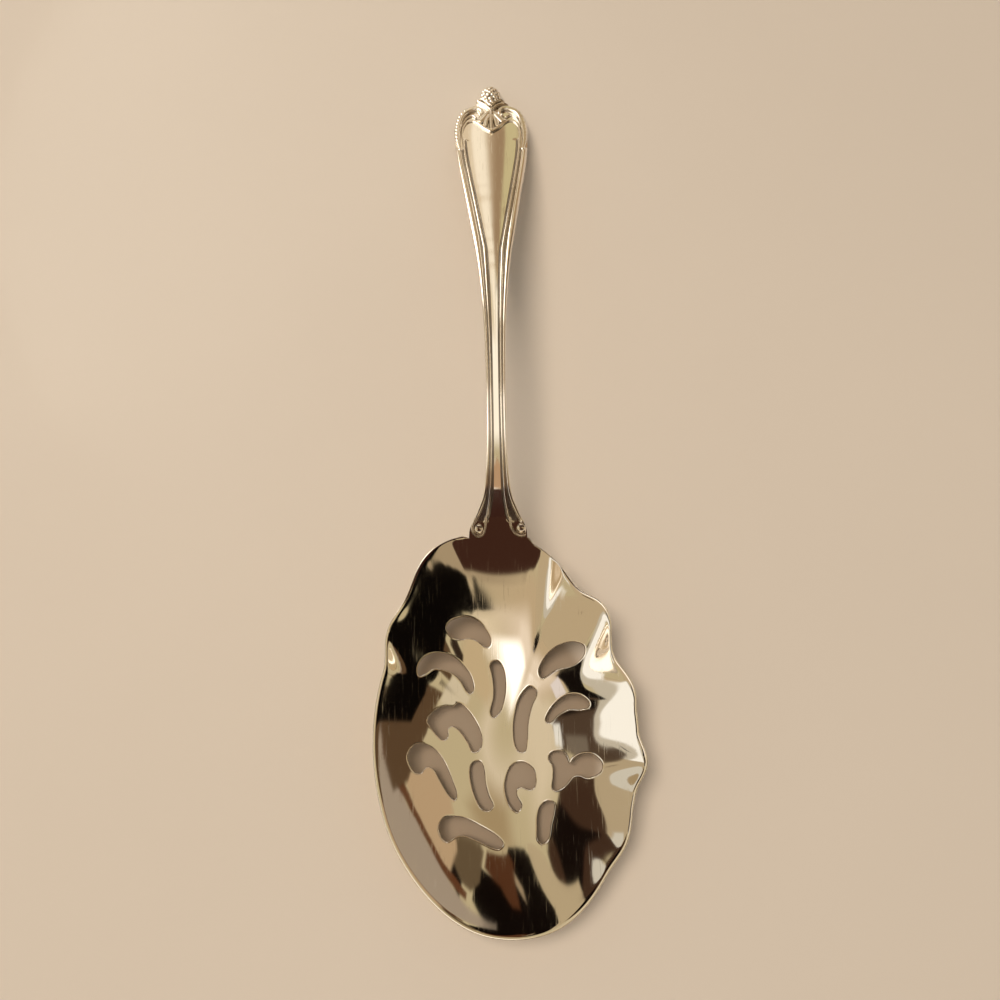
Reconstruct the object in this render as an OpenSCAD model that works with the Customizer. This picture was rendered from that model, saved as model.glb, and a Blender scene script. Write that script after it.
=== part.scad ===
// Slotted serving spoon in millimetres.
// The origin is the middle of the small flat under the bowl, on which the spoon rests.
// X runs across the spoon, Y from the bowl to the tip of the handle, Z up.
// The bowl is a pierced sheet with a scalloped rim, the handle a threaded blank that butts against it,
// the heel backs that joint, and the ornament is seated on the handle.

/* [Bowl] */
// Half width of the plain oval under the scallops
bowl_half_w = 30.8; // [26:0.2:36]
// Reach of the oval from its middle to the front of the bowl
bowl_front = 43.2; // [38:0.2:48]
// Reach of the oval from its middle towards the neck, before the shoulders are added
bowl_back = 40.8; // [39:0.2:42]
// Sideways shift of the bowl from the line of the handle
bowl_shift = 1; // [0:0.1:1.4]
// Height of the rim at the middle of the bowl
rim_height = 15; // [13:0.2:18]
// Thickness of the sheet at the bottom of the bowl
sheet_t = 1.5; // [1.2:0.1:1.8]
// Width of the rim seen from above
rim_w = 1.3; // [1:0.1:1.5]
// How full the wall is: 2 is a plain dish, more makes a flatter bottom
wall_fullness = 2.3; // [2.1:0.05:2.6]
// Scale of the scallops, 1 for those of this spoon
scallop_scale = 1; // [0:0.1:1.2]
// Depth taken off the bottom for the flat on which the bowl rests
rest_depth = 0.3; // [0.2:0.05:0.4]

/* [Handle] */
// Where the handle meets the bowl, from the middle of the bowl
neck_y = 46.4; // [46:0.1:47]
// Length of the handle blank from the neck to the end of its tab
handle_len = 139.4; // [136:0.2:143]
// Length of the tip, from the widest place of the handle to the end of its tab
tip_reach = 19.4; // [18.6:0.1:20.2]
// Half width of the handle at its widest
handle_half_w = 10.1; // [9:0.1:11]
// Height of the crown of the handle above the table
handle_rise = 31.4; // [30:0.1:33]
// Thickness of the blank in the stem
stem_t = 3; // [2.4:0.1:3.4]
// Thickness of the blank in the panel and the tip
panel_t = 2; // [1.8:0.1:2.2]
// Height of the threads above the grooves beside them
thread_h = 0.6; // [0.3:0.05:0.8]
// Fall of the panel from its middle to its edge
panel_crown = 0.6; // [0.2:0.1:1]

/* [Heel] */
// Reach of the heel under the bowl
heel_front = 11; // [6:0.5:14]
// Reach of the heel under the stem
heel_back = 7; // [4:0.5:8]
// Half width of the heel at the neck
heel_half_w = 4.6; // [3:0.1:5]
// Thickness of the heel along its middle
heel_t = 1.1; // [0.8:0.1:1.6]

/* [Ornament] */
// Width of the scrolls round the top of the panel
scroll_w = 1.9; // [1.4:0.1:2]
// Height of the scrolls
scroll_h = 1.1; // [0.8:0.1:1.6]
// Half width of the berry bud at the tip
bud_half_w = 2.75; // [2.2:0.05:3]
// Half length of the berry bud
bud_half_len = 3.9; // [3.4:0.1:4]
// Height of the berry bud above the tab
bud_h = 2.4; // [1.8:0.1:3]
// Radius of the eyes in the volutes at the shoulders
eye_r = 1.05; // [0.8:0.05:1.05]
// Clearance left between seated pieces
seat = 0.02; // [0.01:0.01:0.04]

/* [Hidden] */
// Spoke and ring counts of the bowl
spokes = 108;
rings = 11;
// Below 1 the rings crowd towards the rim
ring_spread = 0.8;
// How the rim climbs towards the neck, per mm and per mm squared
rim_slope = 0.09;
rim_curve = 0.0006;
// How far inwards the flutes fade, as a share of the way to the rim
flute_start = 0.62;
// Half width of the straight butt edge at the neck, and the width over which it blends into the rim
neck_half_w = 6.9;
neck_blend = 1.8;
// Turn to either side of the neck past which the rim is free
neck_turn = 45;
// How far the wall takes up the straight edge along the rim and down into the bowl
saddle_blend = 12;
saddle_depth = 16;
// Top of the blank at the neck, equal to the rim there
neck_z = rim_height + rim_slope * neck_y + rim_curve * neck_y * neck_y;
// The rounded rim from its inner to its outer edge, as shares of its width: across and down
rim_turn_shares = [[0, 0.3], [0.3, 0], [0.7, 0], [1, 0.4]];

// Each row is the middle of a lobe as a share of a turn clockwise from the neck,
// its half span as a share of a turn, and its reach as a share of the bowl's half width.
lobe_shares = [
  [-0.053, 0.082, 0.266],
  [0.017, 0.078, 0.179],
  [-0.126, 0.047, 0.099],
  [0.106, 0.042, 0.081],
  [0.151, 0.039, -0.052],
  [0.198, 0.026, 0.018],
  [0.279, 0.04, 0.063],
  [0.362, 0.042, 0.034],
  [0.45, 0.067, 0.028],
  [-0.417, 0.086, -0.016]
];
// The first two rows are the shoulders beside the neck, which aren't scallops
shoulder_rows = 2;

// Each opening is a closed outline of across and along shares of the bowl's half width
pierce_shares = [
  // far left, nearest the neck
  [[-0.42, 0.87], [-0.395, 0.92], [-0.35, 0.945], [-0.29, 0.96], [-0.22, 0.95], [-0.155, 0.92],
   [-0.1, 0.85], [-0.075, 0.79], [-0.085, 0.74], [-0.12, 0.735], [-0.19, 0.785], [-0.245, 0.8],
   [-0.31, 0.79], [-0.385, 0.81]],
  // second on the left
  [[-0.64, 0.57], [-0.6, 0.635], [-0.54, 0.67], [-0.47, 0.68], [-0.39, 0.665], [-0.31, 0.61],
   [-0.24, 0.52], [-0.215, 0.42], [-0.24, 0.375], [-0.275, 0.4], [-0.32, 0.475], [-0.4, 0.54],
   [-0.515, 0.56], [-0.59, 0.515], [-0.635, 0.5]],
  // third on the left, with the small hook
  [[-0.575, 0.17], [-0.52, 0.24], [-0.45, 0.275], [-0.375, 0.275], [-0.34, 0.3], [-0.29, 0.275],
   [-0.22, 0.19], [-0.17, 0.09], [-0.155, 0], [-0.18, -0.06], [-0.23, -0.07], [-0.265, 0],
   [-0.325, 0.085], [-0.385, 0.125], [-0.42, 0.1], [-0.42, 0.045], [-0.45, 0.02], [-0.49, 0.04],
   [-0.54, 0.1]],
  // fourth on the left
  [[-0.72, -0.12], [-0.7, -0.05], [-0.65, -0.01], [-0.59, -0.015], [-0.51, -0.06], [-0.445, -0.15],
   [-0.395, -0.265], [-0.355, -0.38], [-0.37, -0.43], [-0.42, -0.385], [-0.48, -0.285],
   [-0.53, -0.2], [-0.585, -0.185], [-0.625, -0.23], [-0.68, -0.21]],
  // lowest on the left
  [[-0.485, -0.62], [-0.45, -0.56], [-0.39, -0.55], [-0.29, -0.565], [-0.17, -0.625],
   [-0.06, -0.69], [-0.005, -0.75], [-0.03, -0.79], [-0.09, -0.78], [-0.195, -0.73],
   [-0.3, -0.69], [-0.365, -0.7], [-0.42, -0.73], [-0.465, -0.695]],
  // upper drop on the centre line
  [[-0.08, 0.59], [-0.05, 0.625], [-0.01, 0.62], [0.025, 0.56], [0.038, 0.47], [0.03, 0.36],
   [0, 0.25], [-0.055, 0.19], [-0.085, 0.23], [-0.06, 0.33], [-0.055, 0.42], [-0.065, 0.51]],
  // long drop beside it
  [[0.225, 0.425], [0.275, 0.4], [0.28, 0.355], [0.24, 0.26], [0.21, 0.14], [0.2, 0],
   [0.18, -0.075], [0.13, -0.07], [0.1, 0], [0.095, 0.12], [0.115, 0.24], [0.155, 0.35]],
  // lower left drop
  [[-0.245, -0.18], [-0.21, -0.145], [-0.165, -0.15], [-0.14, -0.22], [-0.13, -0.32],
   [-0.105, -0.41], [-0.075, -0.48], [-0.11, -0.515], [-0.16, -0.5], [-0.2, -0.44],
   [-0.235, -0.34], [-0.25, -0.25]],
  // comma on the centre line
  [[0.02, -0.31], [0.055, -0.205], [0.11, -0.16], [0.18, -0.16], [0.24, -0.205], [0.26, -0.28],
   [0.245, -0.35], [0.205, -0.365], [0.15, -0.345], [0.11, -0.365], [0.115, -0.42],
   [0.145, -0.48], [0.11, -0.53], [0.055, -0.48], [0.025, -0.4]],
  // first on the right
  [[0.305, 0.545], [0.35, 0.635], [0.415, 0.695], [0.5, 0.735], [0.58, 0.74], [0.65, 0.71],
   [0.655, 0.645], [0.61, 0.59], [0.55, 0.56], [0.44, 0.54], [0.37, 0.5], [0.325, 0.485]],
  // second on the right
  [[0.35, 0.165], [0.39, 0.245], [0.46, 0.315], [0.54, 0.35], [0.62, 0.34], [0.68, 0.29],
   [0.68, 0.245], [0.62, 0.23], [0.535, 0.235], [0.455, 0.2], [0.385, 0.14]],
  // the double comma on the right
  [[0.365, -0.13], [0.395, -0.085], [0.465, -0.08], [0.5, -0.115], [0.525, -0.175],
   [0.56, -0.135], [0.625, -0.105], [0.7, -0.11], [0.765, -0.18], [0.745, -0.25], [0.66, -0.285],
   [0.595, -0.265], [0.545, -0.275], [0.48, -0.345], [0.415, -0.375], [0.385, -0.35],
   [0.395, -0.27], [0.395, -0.19]],
  // lowest on the right
  [[0.26, -0.64], [0.265, -0.56], [0.29, -0.49], [0.345, -0.45], [0.395, -0.47], [0.39, -0.54],
   [0.365, -0.63], [0.345, -0.72], [0.295, -0.76], [0.26, -0.72]]
];
// Steps to each stretch of an opening's outline
pierce_steps = 2;

// Along share of the handle and half width share, from the neck to the end of the tab
width_shares = [
  [0, 0.685], [0.012, 0.66], [0.035, 0.5], [0.06, 0.35], [0.09, 0.285], [0.14, 0.24], [0.2, 0.228],
  [0.28, 0.238], [0.36, 0.265], [0.44, 0.335], [0.51, 0.43], [0.58, 0.565], [0.65, 0.7],
  [0.72, 0.835], [0.79, 0.955], [0.848, 1], [0.888, 0.965], [0.924, 0.8], [0.949, 0.54],
  [0.963, 0.33], [0.982, 0.21], [1, 0.08]
];
// Along share of the handle and height share of its top surface along the middle
rise_shares = [
  [0, neck_z / handle_rise],
  [0.027, 0.775], [0.056, 0.86], [0.085, 0.905], [0.13, 0.95], [0.19, 0.985], [0.26, 1],
  [0.35, 0.982], [0.45, 0.924], [0.56, 0.81], [0.68, 0.634], [0.8, 0.415], [0.9, 0.222],
  [1, 0.066]
];
// Along share of the handle and how much of the stem's thickness the blank keeps there
stem_shares = [[0, 0], [0.1, 1], [0.3, 1], [0.62, 0], [1, 0]];
// The place on the handle where it is widest, as the tables count it
widest_share = 0.861;
// Where the threads leave the volutes, in shares of handle_half_w from the foot of the volutes
thread_start_share = 0.375;
// Where each thread ends under the ornament, in shares of handle_half_w before the widest place
outer_end_share = 0.773;
inner_end_share = 0.359;
// Border width as a share of the half width, and its greatest width
border_share = 0.58;
border_max = 2.7;
outer_share = 0.32;
outer_max = 1.7;
inner_share = 0.22;
inner_max = 0.75;
// The same widths at the shoulders as shares of those along the stem, and how far the shoulders reach
border_root_share = 1.2;
outer_root_share = 0.45;
inner_root_share = 0.8;
root_reach_share = 0.08;
// Height of the inner thread as a share of the outer one's
inner_h_share = 0.7;
// Rise of the underside towards its edges, as a share of the thickness
under_lift = 0.25;
// Station spacing at the shoulders, along the stem and round the tip
shoulder_step = 1;
stem_step = 4;
tip_step = 1.25;
shoulder_len = 14;
tip_len = 32;
thread_cut = 0.1;

// Along share of the heel and half width share, from under the bowl to under the stem
heel_shares = [[0, 0.18], [0.06, 0.5], [0.18, 0.8], [0.4, 0.98], [0.61, 1], [0.8, 0.72], [1, 0.4]];
heel_edge_t = 0.15;
// Clearance over the heel, wider than the others because it crosses the joint of bowl and handle
heel_gap = 0.1;
// Shares of the heel's length over which it swells at the front and thins at the back
heel_swell_share = 0.25;
heel_thin_share = 0.5;
heel_end_share = 0.5;
heel_front_steps = 15;
heel_back_steps = 10;

// Where the ornament sits: across and along shares of handle_half_w from the widest place
widest_y = neck_y + handle_len - tip_reach;
outer_end_y = widest_y - outer_end_share * handle_half_w;
inner_end_y = widest_y - inner_end_share * handle_half_w;
scroll_shares = [
  [0.87, -0.7], [0.915, -0.35], [0.9, 0.1], [0.82, 0.52], [0.64, 0.86], [0.42, 1.03], [0.27, 0.98],
  [0.22, 0.84]
];
arm_shares = [[0.75, -0.3], [0.765, 0.05], [0.7, 0.3], [0.545, 0.43], [0.35, 0.33], [0.19, 0.2], [0, 0.07]];
leaf_shares = [[0.49, 1.36], [0.36, 1.29], [0.2, 1.13], [0, 0.99]];
petal_shares = [[0, 0.83], [0, 0.6], [0, 0.14]];
side_petal_shares = [[0.07, 0.8], [0.2, 0.58], [0.34, 0.5]];
// Half widths of the swept pieces as shares of the scroll's width, from start to end
scroll_taper_shares = [0.3, 0.42, 0.5, 0.5, 0.5, 0.45, 0.36, 0.2];
arm_taper_shares = [0.16, 0.2, 0.22, 0.24, 0.26, 0.3, 0.34];
leaf_taper_shares = [0.16, 0.32, 0.36, 0.4];
petal_taper_shares = [0.4, 0.55, 0.1];
side_petal_taper_shares = [0.3, 0.42, 0.14];
// The U of a volute from the inner thread round the eye to the outer one, in shares of handle_half_w
volute_shares = [
  [0.287, 0.36], [0.297, 0.2], [0.347, 0.09], [0.452, 0.047], [0.558, 0.09], [0.598, 0.2], [0.53, 0.35]
];
volute_taper_shares = [0.15, 0.16, 0.18, 0.2, 0.18, 0.17, 0.16];
eye_place_shares = [0.452, 0.195];
// How far the volutes keep back from the joint of bowl and handle
volute_gap = 0.12;
volute_foot = neck_y + volute_gap;
start_y = volute_foot + thread_start_share * handle_half_w;
// Middle of the bud, in shares of handle_half_w from the widest place
bud_share = 1.643;
arm_h = 0.6;
leaf_h = 1.1;
petal_h = 1;
eye_h = 0.7;
bud_y = widest_y + bud_share * handle_half_w;
// Berries round the bud and along it
bud_rows = 4;
bud_ranks = 5;
berry_depth = 0.16;
sweep_steps = 2;
sweep_sides = 6;
dome_sides = 24;

function mix(a, b, t) = a + (b - a) * t;
function ease(t) = let(c = min(1, max(0, t))) c * c * (3 - 2 * c);
function last(list) = list[len(list) - 1];
function middle_of(points) = [for (p = points) 1] * points / len(points);

// Tangent of a table of [place, value] rows at one row
function table_tangent(table, i) =
  let(a = table[max(0, i - 1)], b = table[min(len(table) - 1, i + 1)])
  (b[1] - a[1]) / (b[0] - a[0]);

// Smooth value of a table of [place, value] rows
function table_at(table, x) =
  let(
    c = min(last(table)[0], max(table[0][0], x)),
    below = [for (i = [0:len(table) - 2]) if (table[i][0] <= c) i],
    i = last(below),
    a = table[i],
    b = table[i + 1],
    span = b[0] - a[0],
    t = (c - a[0]) / span
  )
  a[1] * (2 * pow(t, 3) - 3 * t * t + 1)
  + table_tangent(table, i) * span * (pow(t, 3) - 2 * t * t + t)
  + b[1] * (3 * t * t - 2 * pow(t, 3))
  + table_tangent(table, i + 1) * span * (pow(t, 3) - t * t);

// Point between b and c of a smooth curve through a, b, c and d
function spline_point(a, b, c, d, t) =
  (2 * b + (c - a) * t + (2 * a - 5 * b + 4 * c - d) * t * t
   + (3 * b - a - 3 * c + d) * pow(t, 3)) / 2;

function closed_curve(points, steps) =
  let(n = len(points))
  [for (i = [0:n - 1], k = [0:steps - 1])
    spline_point(points[(i + n - 1) % n], points[i], points[(i + 1) % n], points[(i + 2) % n], k / steps)];

function open_curve(points, steps) =
  let(n = len(points))
  concat(
    [for (i = [0:n - 2], k = [0:steps - 1])
      spline_point(points[max(0, i - 1)], points[i], points[i + 1], points[min(n - 1, i + 2)], k / steps)],
    [last(points)]
  );

// Bowl surfaces, in polar form round the middle of the bowl
function turn_of(x, y) = atan2(x - bowl_shift, y);
function bump(angle, row) =
  let(
    apart = abs((angle - row[0] * 360 + 900) % 360 - 180),
    t = min(1, apart / (row[1] * 360))
  )
  row[2] * bowl_half_w * pow(1 - t * t, 3);
function lobes(angle, first, end) =
  let(bumps = [for (i = [first:end - 1]) bump(angle, lobe_shares[i])])
  bumps * [for (b = bumps) 1];
function shoulders(angle) = lobes(angle, 0, shoulder_rows);
function scallops(angle) = scallop_scale * lobes(angle, shoulder_rows, len(lobe_shares));
function oval(angle) =
  let(reach = cos(angle) > 0 ? bowl_back : bowl_front)
  1 / sqrt(pow(sin(angle) / bowl_half_w, 2) + pow(cos(angle) / reach, 2));
// 1 on the straight edge at the neck, 0 on the free rim, eased over the blend
function neck_share(angle, blend) =
  abs(angle) > neck_turn ? 0
  : ease((neck_half_w + blend - abs(bowl_shift + neck_y * tan(angle))) / blend);
function rim_reach(angle, blend) =
  let(free = oval(angle) + shoulders(angle) + scallops(angle), edge = neck_share(angle, blend))
  edge > 0 ? mix(free, neck_y / cos(angle), edge) : free;
// 1 at the straight edge, 0 away from it along the rim and down the wall
function saddle_share(x, y) =
  let(
    angle = turn_of(x, y),
    depth = rim_reach(angle, neck_blend) - norm([x - bowl_shift, y])
  )
  neck_share(angle, saddle_blend) * ease(1 - depth / saddle_depth);
function rim_z(y) = rim_height + rim_slope * y + rim_curve * y * y;
// Share of the way to an edge that lies beyond or inside the rim by the given amount.
// The shoulders widen the bowl all the way, the scallops fade into it as flutes.
function wall_share(x, y, beyond) =
  let(
    angle = turn_of(x, y),
    reach = rim_reach(angle, saddle_blend),
    r = norm([x - bowl_shift, y]),
    fade = ease((r / reach - flute_start) / (1 - flute_start)),
    flutes = scallops(angle) * (1 - neck_share(angle, saddle_blend)),
    plain = oval(angle)
  )
  r / (plain + (reach - flutes - plain + beyond) * r / reach + flutes * fade);
function inside_z(x, y) =
  let(beyond = -rim_w * (1 - saddle_share(x, y)))
  sheet_t + (rim_z(y) - sheet_t) * pow(wall_share(x, y, beyond), wall_fullness);
function outside_z(x, y) =
  let(beyond = rim_w * saddle_share(x, y))
  rim_z(y) * pow(wall_share(x, y, beyond), wall_fullness) - rest_depth;

// Points of one spoke: up the inside from the middle, over the rim and back under the sheet
function spoke(angle) =
  let(
    edge = neck_share(angle, neck_blend),
    reach = rim_reach(angle, neck_blend),
    wide = rim_w * (1 - edge),
    inner = reach - wide,
    top = polar(angle, reach),
    butt_z = inside_z(top[0], top[1]),
    butt_t = butt_z - outside_z(top[0], top[1])
  )
  concat(
    [for (k = [1:rings - 1])
      let(p = polar(angle, inner * ring_share(k)))
      [p[0], p[1], inside_z(p[0], p[1])]],
    [for (k = [0:3])
      let(
        turn = rim_turn_shares[k],
        p = polar(angle, inner + wide * turn[0])
      )
      [p[0], p[1], mix(rim_z(p[1]) - rim_w * turn[1], butt_z - butt_t * k / 3, edge)]],
    [for (k = [rings - 1:-1:1])
      let(p = polar(angle, reach * ring_share(k)))
      [p[0], p[1], outside_z(p[0], p[1])]]
  );
function polar(angle, r) = [bowl_shift + r * sin(angle), r * cos(angle)];
function ring_share(k) = pow(k / rings, ring_spread);

// Handle surfaces
// The share of the way from the neck to the end of the tab, counted apart below and in the tip
function along(y) =
  y <= widest_y ? widest_share * (y - neck_y) / (widest_y - neck_y)
  : widest_share + (1 - widest_share) * (y - widest_y) / tip_reach;
// 1 at the neck, 0 from the narrow part of the stem on
function root_share(y) = 1 - ease(along(y) / root_reach_share);
function half_w(y) = handle_half_w * table_at(width_shares, along(y));
function blank_t(y) =
  mix(mix(panel_t, stem_t, table_at(stem_shares, along(y))), neck_t, root_share(y));
function bare_z(x, y) =
  handle_rise * table_at(rise_shares, along(y))
  - panel_crown * pow(x / handle_half_w, 2) * (1 - root_share(y));
function under_z(x, y) =
  bare_z(x, y) - blank_t(y) * (1 - under_lift * (1 - root_share(y)) * pow(x / half_w(y), 2));
neck_t = neck_z - outside_z(0, neck_y);

// Half of the top of the handle from its edge to its middle, as across place and height of relief
function half_section(y) =
  let(
    w = half_w(y),
    root = root_share(y),
    border = min(border_share * w, border_max * mix(1, border_root_share, root)),
    outer = min(outer_share * w, outer_max) * mix(1, outer_root_share, root),
    inner = min(inner_share * w, inner_max) * mix(1, inner_root_share, root),
    panel = w - border,
    outer_h = y < start_y || y >= outer_end_y ? 0 : thread_h,
    inner_h = y < start_y || y >= inner_end_y ? 0 : thread_h * inner_h_share
  )
  [
    [w, 0],
    [w - 0.25 * outer, 0.7 * outer_h],
    [w - 0.55 * outer, outer_h],
    [w - 0.85 * outer, 0.7 * outer_h],
    [w - outer, 0],
    [panel + inner, 0],
    [panel + 0.7 * inner, inner_h],
    [panel + 0.3 * inner, inner_h],
    [panel, -0.25 * inner_h],
    [panel * 0.9, 0],
    [panel * 0.5, 0]
  ];
function station(y) =
  let(
    half = half_section(y),
    w = half_w(y),
    n = len(half)
  )
  concat(
    [for (p = half) [-p[0], y, bare_z(p[0], y) + p[1]]],
    [[0, y, bare_z(0, y)]],
    [for (i = [n - 1:-1:0]) [half[i][0], y, bare_z(half[i][0], y) + half[i][1]]],
    [for (s = [1, 0.6, 0, -0.6, -1]) [s * w, y, under_z(s * w, y)]]
  );
function handle_stations() =
  let(
    end_y = neck_y + handle_len,
    shoulder_y = neck_y + shoulder_len,
    tip_y = end_y - tip_len
  )
  concat(
    [neck_y + seat],
    [for (y = [neck_y + shoulder_step:shoulder_step:start_y - shoulder_step / 2]) y],
    [start_y - thread_cut, start_y],
    [for (y = [start_y + shoulder_step:shoulder_step:shoulder_y - shoulder_step / 2]) y],
    [for (y = [shoulder_y:stem_step:tip_y - stem_step / 2]) y],
    [for (y = [tip_y:tip_step:outer_end_y - tip_step / 2]) y],
    [outer_end_y - thread_cut, outer_end_y],
    [for (y = [outer_end_y + tip_step:tip_step:inner_end_y - tip_step / 2]) y],
    [inner_end_y - thread_cut, inner_end_y],
    [for (y = [inner_end_y + tip_step:tip_step:end_y - tip_step / 2]) y],
    [end_y]
  );

// Heel surfaces
function heel_station(y) =
  let(
    share = (y - neck_y + heel_front) / (heel_front + heel_back),
    w = heel_half_w * table_at(heel_shares, share),
    depth = heel_t * ease(share / heel_swell_share)
      * mix(1, heel_end_share, ease((share - heel_thin_share) / (1 - heel_thin_share)))
  )
  concat(
    [for (u = [-1:0.2:1]) [u * w, y, bowl_or_blank_z(u * w, y) - heel_gap]],
    [for (u = [1:-0.2:-1])
      [u * w, y, bowl_or_blank_z(u * w, y) - heel_gap - heel_edge_t - depth * (1 - u * u)]]
  );
function bowl_or_blank_z(x, y) = y <= neck_y ? outside_z(x, y) : under_z(x, y);

// A closed body from stations that hold equally many points, each end fanned out from its middle
module skin(stations) {
  n = len(stations[0]);
  m = len(stations);
  front = n * m;
  back = front + 1;
  polyhedron(
    points = concat([for (s = stations, p = s) p], [middle_of(stations[0]), middle_of(last(stations))]),
    faces = concat(
      [for (i = [0:n - 1]) [front, i, (i + 1) % n]],
      [for (j = [0:m - 2], i = [0:n - 1]) [j * n + i, (j + 1) * n + i, j * n + (i + 1) % n]],
      [for (j = [0:m - 2], i = [0:n - 1])
        [(j + 1) * n + i, (j + 1) * n + (i + 1) % n, j * n + (i + 1) % n]],
      [for (i = [0:n - 1]) [back, (m - 1) * n + (i + 1) % n, (m - 1) * n + i]]
    )
  );
}

// A round-topped strand laid on the handle along a path, seated on the bare surface
module strand(path, tapers, height) {
  line = open_curve(path, sweep_steps);
  widths = open_curve([for (t = tapers) [t, 0]], sweep_steps);
  skin([for (i = [0:len(line) - 1])
    let(
      before = line[max(0, i - 1)],
      after = line[min(len(line) - 1, i + 1)],
      way = (after - before) / norm(after - before),
      side = [way[1], -way[0]],
      wide = widths[i][0] * scroll_w
    )
    [for (j = [0:sweep_sides])
      let(
        turn = 180 * j / sweep_sides,
        p = line[i] - side * wide * cos(turn)
      )
      [p[0], p[1], bare_z(p[0], p[1]) + seat + height * min(1, wide / scroll_w * 2) * sin(turn)]]
  ]);
}

// A low dome seated on the handle, with berries round it where wanted
module dome(middle, across, length, height, berries) {
  ranks = bud_ranks;
  n = dome_sides;
  function rim_point(k, i, up) =
    let(
      share = 1 - k / ranks,
      turn = 360 * i / n,
      p = middle + [across * share * cos(turn), length * share * sin(turn)],
      ripple = berries * berry_depth * cos(turn * bud_rows * 2 + 180 * k)
    )
    [p[0], p[1], bare_z(p[0], p[1]) + seat + up * (height * sqrt(1 - share * share) + ripple)];
  over = [for (k = [1:ranks - 1], i = [0:n - 1]) rim_point(k, i, 1)];
  edge = [for (i = [0:n - 1]) rim_point(0, i, 0)];
  under = [for (k = [1:ranks - 1], i = [0:n - 1]) rim_point(k, i, 0)];
  peak = bare_z(middle[0], middle[1]) + seat;
  top = n * (2 * ranks - 1);
  function level(k) = k * n;
  function below(k) = k == 0 ? 0 : (ranks - 1 + k) * n;
  polyhedron(
    points = concat(edge, over, under, [[middle[0], middle[1], peak + height], [middle[0], middle[1], peak]]),
    faces = concat(
      [for (k = [0:ranks - 2], i = [0:n - 1]) [level(k) + i, level(k + 1) + i, level(k) + (i + 1) % n]],
      [for (k = [0:ranks - 2], i = [0:n - 1])
        [level(k + 1) + i, level(k + 1) + (i + 1) % n, level(k) + (i + 1) % n]],
      [for (i = [0:n - 1]) [level(ranks - 1) + i, top, level(ranks - 1) + (i + 1) % n]],
      [for (k = [0:ranks - 2], i = [0:n - 1]) [below(k) + i, below(k) + (i + 1) % n, below(k + 1) + i]],
      [for (k = [0:ranks - 2], i = [0:n - 1])
        [below(k + 1) + i, below(k) + (i + 1) % n, below(k + 1) + (i + 1) % n]],
      [for (i = [0:n - 1]) [below(ranks - 1) + i, below(ranks - 1) + (i + 1) % n, top + 1]]
    )
  );
}

function placed(shares, side) =
  [for (p = shares) [side * p[0] * handle_half_w, widest_y + p[1] * handle_half_w]];

module bowl_sheet() {
  n = 2 * rings + 2;
  lines = [for (i = [0:spokes - 1]) spoke(360 * i / spokes - 180)];
  count = spokes * n;
  polyhedron(
    points = concat(
      [for (line = lines, p = line) p],
      [[bowl_shift, 0, inside_z(bowl_shift, 0)], [bowl_shift, 0, outside_z(bowl_shift, 0)]]
    ),
    faces = concat(
      [for (i = [0:spokes - 1], k = [0:n - 2])
        [i * n + k, i * n + k + 1, ((i + 1) % spokes) * n + k]],
      [for (i = [0:spokes - 1], k = [0:n - 2])
        [i * n + k + 1, ((i + 1) % spokes) * n + k + 1, ((i + 1) % spokes) * n + k]],
      [for (i = [0:spokes - 1]) [count, i * n, ((i + 1) % spokes) * n]],
      [for (i = [0:spokes - 1]) [count + 1, ((i + 1) % spokes) * n + n - 1, i * n + n - 1]]
    )
  );
}

module bowl() {
  color("silver")
  difference() {
    bowl_sheet();
    translate([-bowl_half_w, -bowl_half_w, -sheet_t]) cube([2 * bowl_half_w, 2 * bowl_half_w, sheet_t]);
    for (outline = pierce_shares) {
      linear_extrude(height = rim_height) polygon(closed_curve(outline, pierce_steps) * bowl_half_w);
    }
  }
}

module handle() {
  color("silver") skin([for (y = handle_stations()) station(y)]);
}

module heel() {
  color("lightgray")
  skin([for (y = concat(
    [for (k = [0:heel_front_steps]) neck_y - heel_front * (1 - k / heel_front_steps)],
    [for (k = [1:heel_back_steps]) neck_y + heel_back * k / heel_back_steps]
  )) heel_station(y)]);
}

module scroll_left() {
  color("gainsboro") strand(placed(scroll_shares, -1), scroll_taper_shares, scroll_h);
}

module scroll_right() {
  color("gainsboro") strand(placed(scroll_shares, 1), scroll_taper_shares, scroll_h);
}

module palmette() {
  color("gainsboro")
  union() {
    for (side = [-1, 1]) {
      strand(placed(arm_shares, side), arm_taper_shares, arm_h);
      strand(placed(side_petal_shares, side), side_petal_taper_shares, petal_h);
    }
    strand(placed(petal_shares, 1), petal_taper_shares, petal_h);
  }
}

module calyx() {
  outward = placed(leaf_shares, -1);
  inward = placed(leaf_shares, 1);
  color("gainsboro")
  strand(
    concat(outward, [for (i = [len(inward) - 2:-1:0]) inward[i]]),
    concat(leaf_taper_shares, [for (i = [len(inward) - 2:-1:0]) leaf_taper_shares[i]]),
    leaf_h
  );
}

module bud() {
  color("gainsboro") dome([0, bud_y], bud_half_w, bud_half_len, bud_h, 1);
}

// Eye of a shoulder with the strand that curls round under it
module volute(side) {
  line = [for (p = volute_shares) [side * p[0] * handle_half_w, volute_foot + p[1] * handle_half_w]];
  eye = [side * eye_place_shares[0] * handle_half_w, volute_foot + eye_place_shares[1] * handle_half_w];
  strand(line, volute_taper_shares, thread_h * 1.5);
  dome(eye, eye_r, eye_r, eye_h, 0);
}

module volute_left() {
  color("gainsboro") volute(-1);
}

module volute_right() {
  color("gainsboro") volute(1);
}

bowl();
handle();
heel();
scroll_left();
scroll_right();
palmette();
calyx();
bud();
volute_left();
volute_right();
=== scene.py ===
"""A pierced serving spoon in polished silver plate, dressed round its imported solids.

Lengths are written in millimetres and turned to metres where a mesh is made. The origin lies under
the bowl, +Y runs to the tip of the handle and +Z up.
"""

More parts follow.
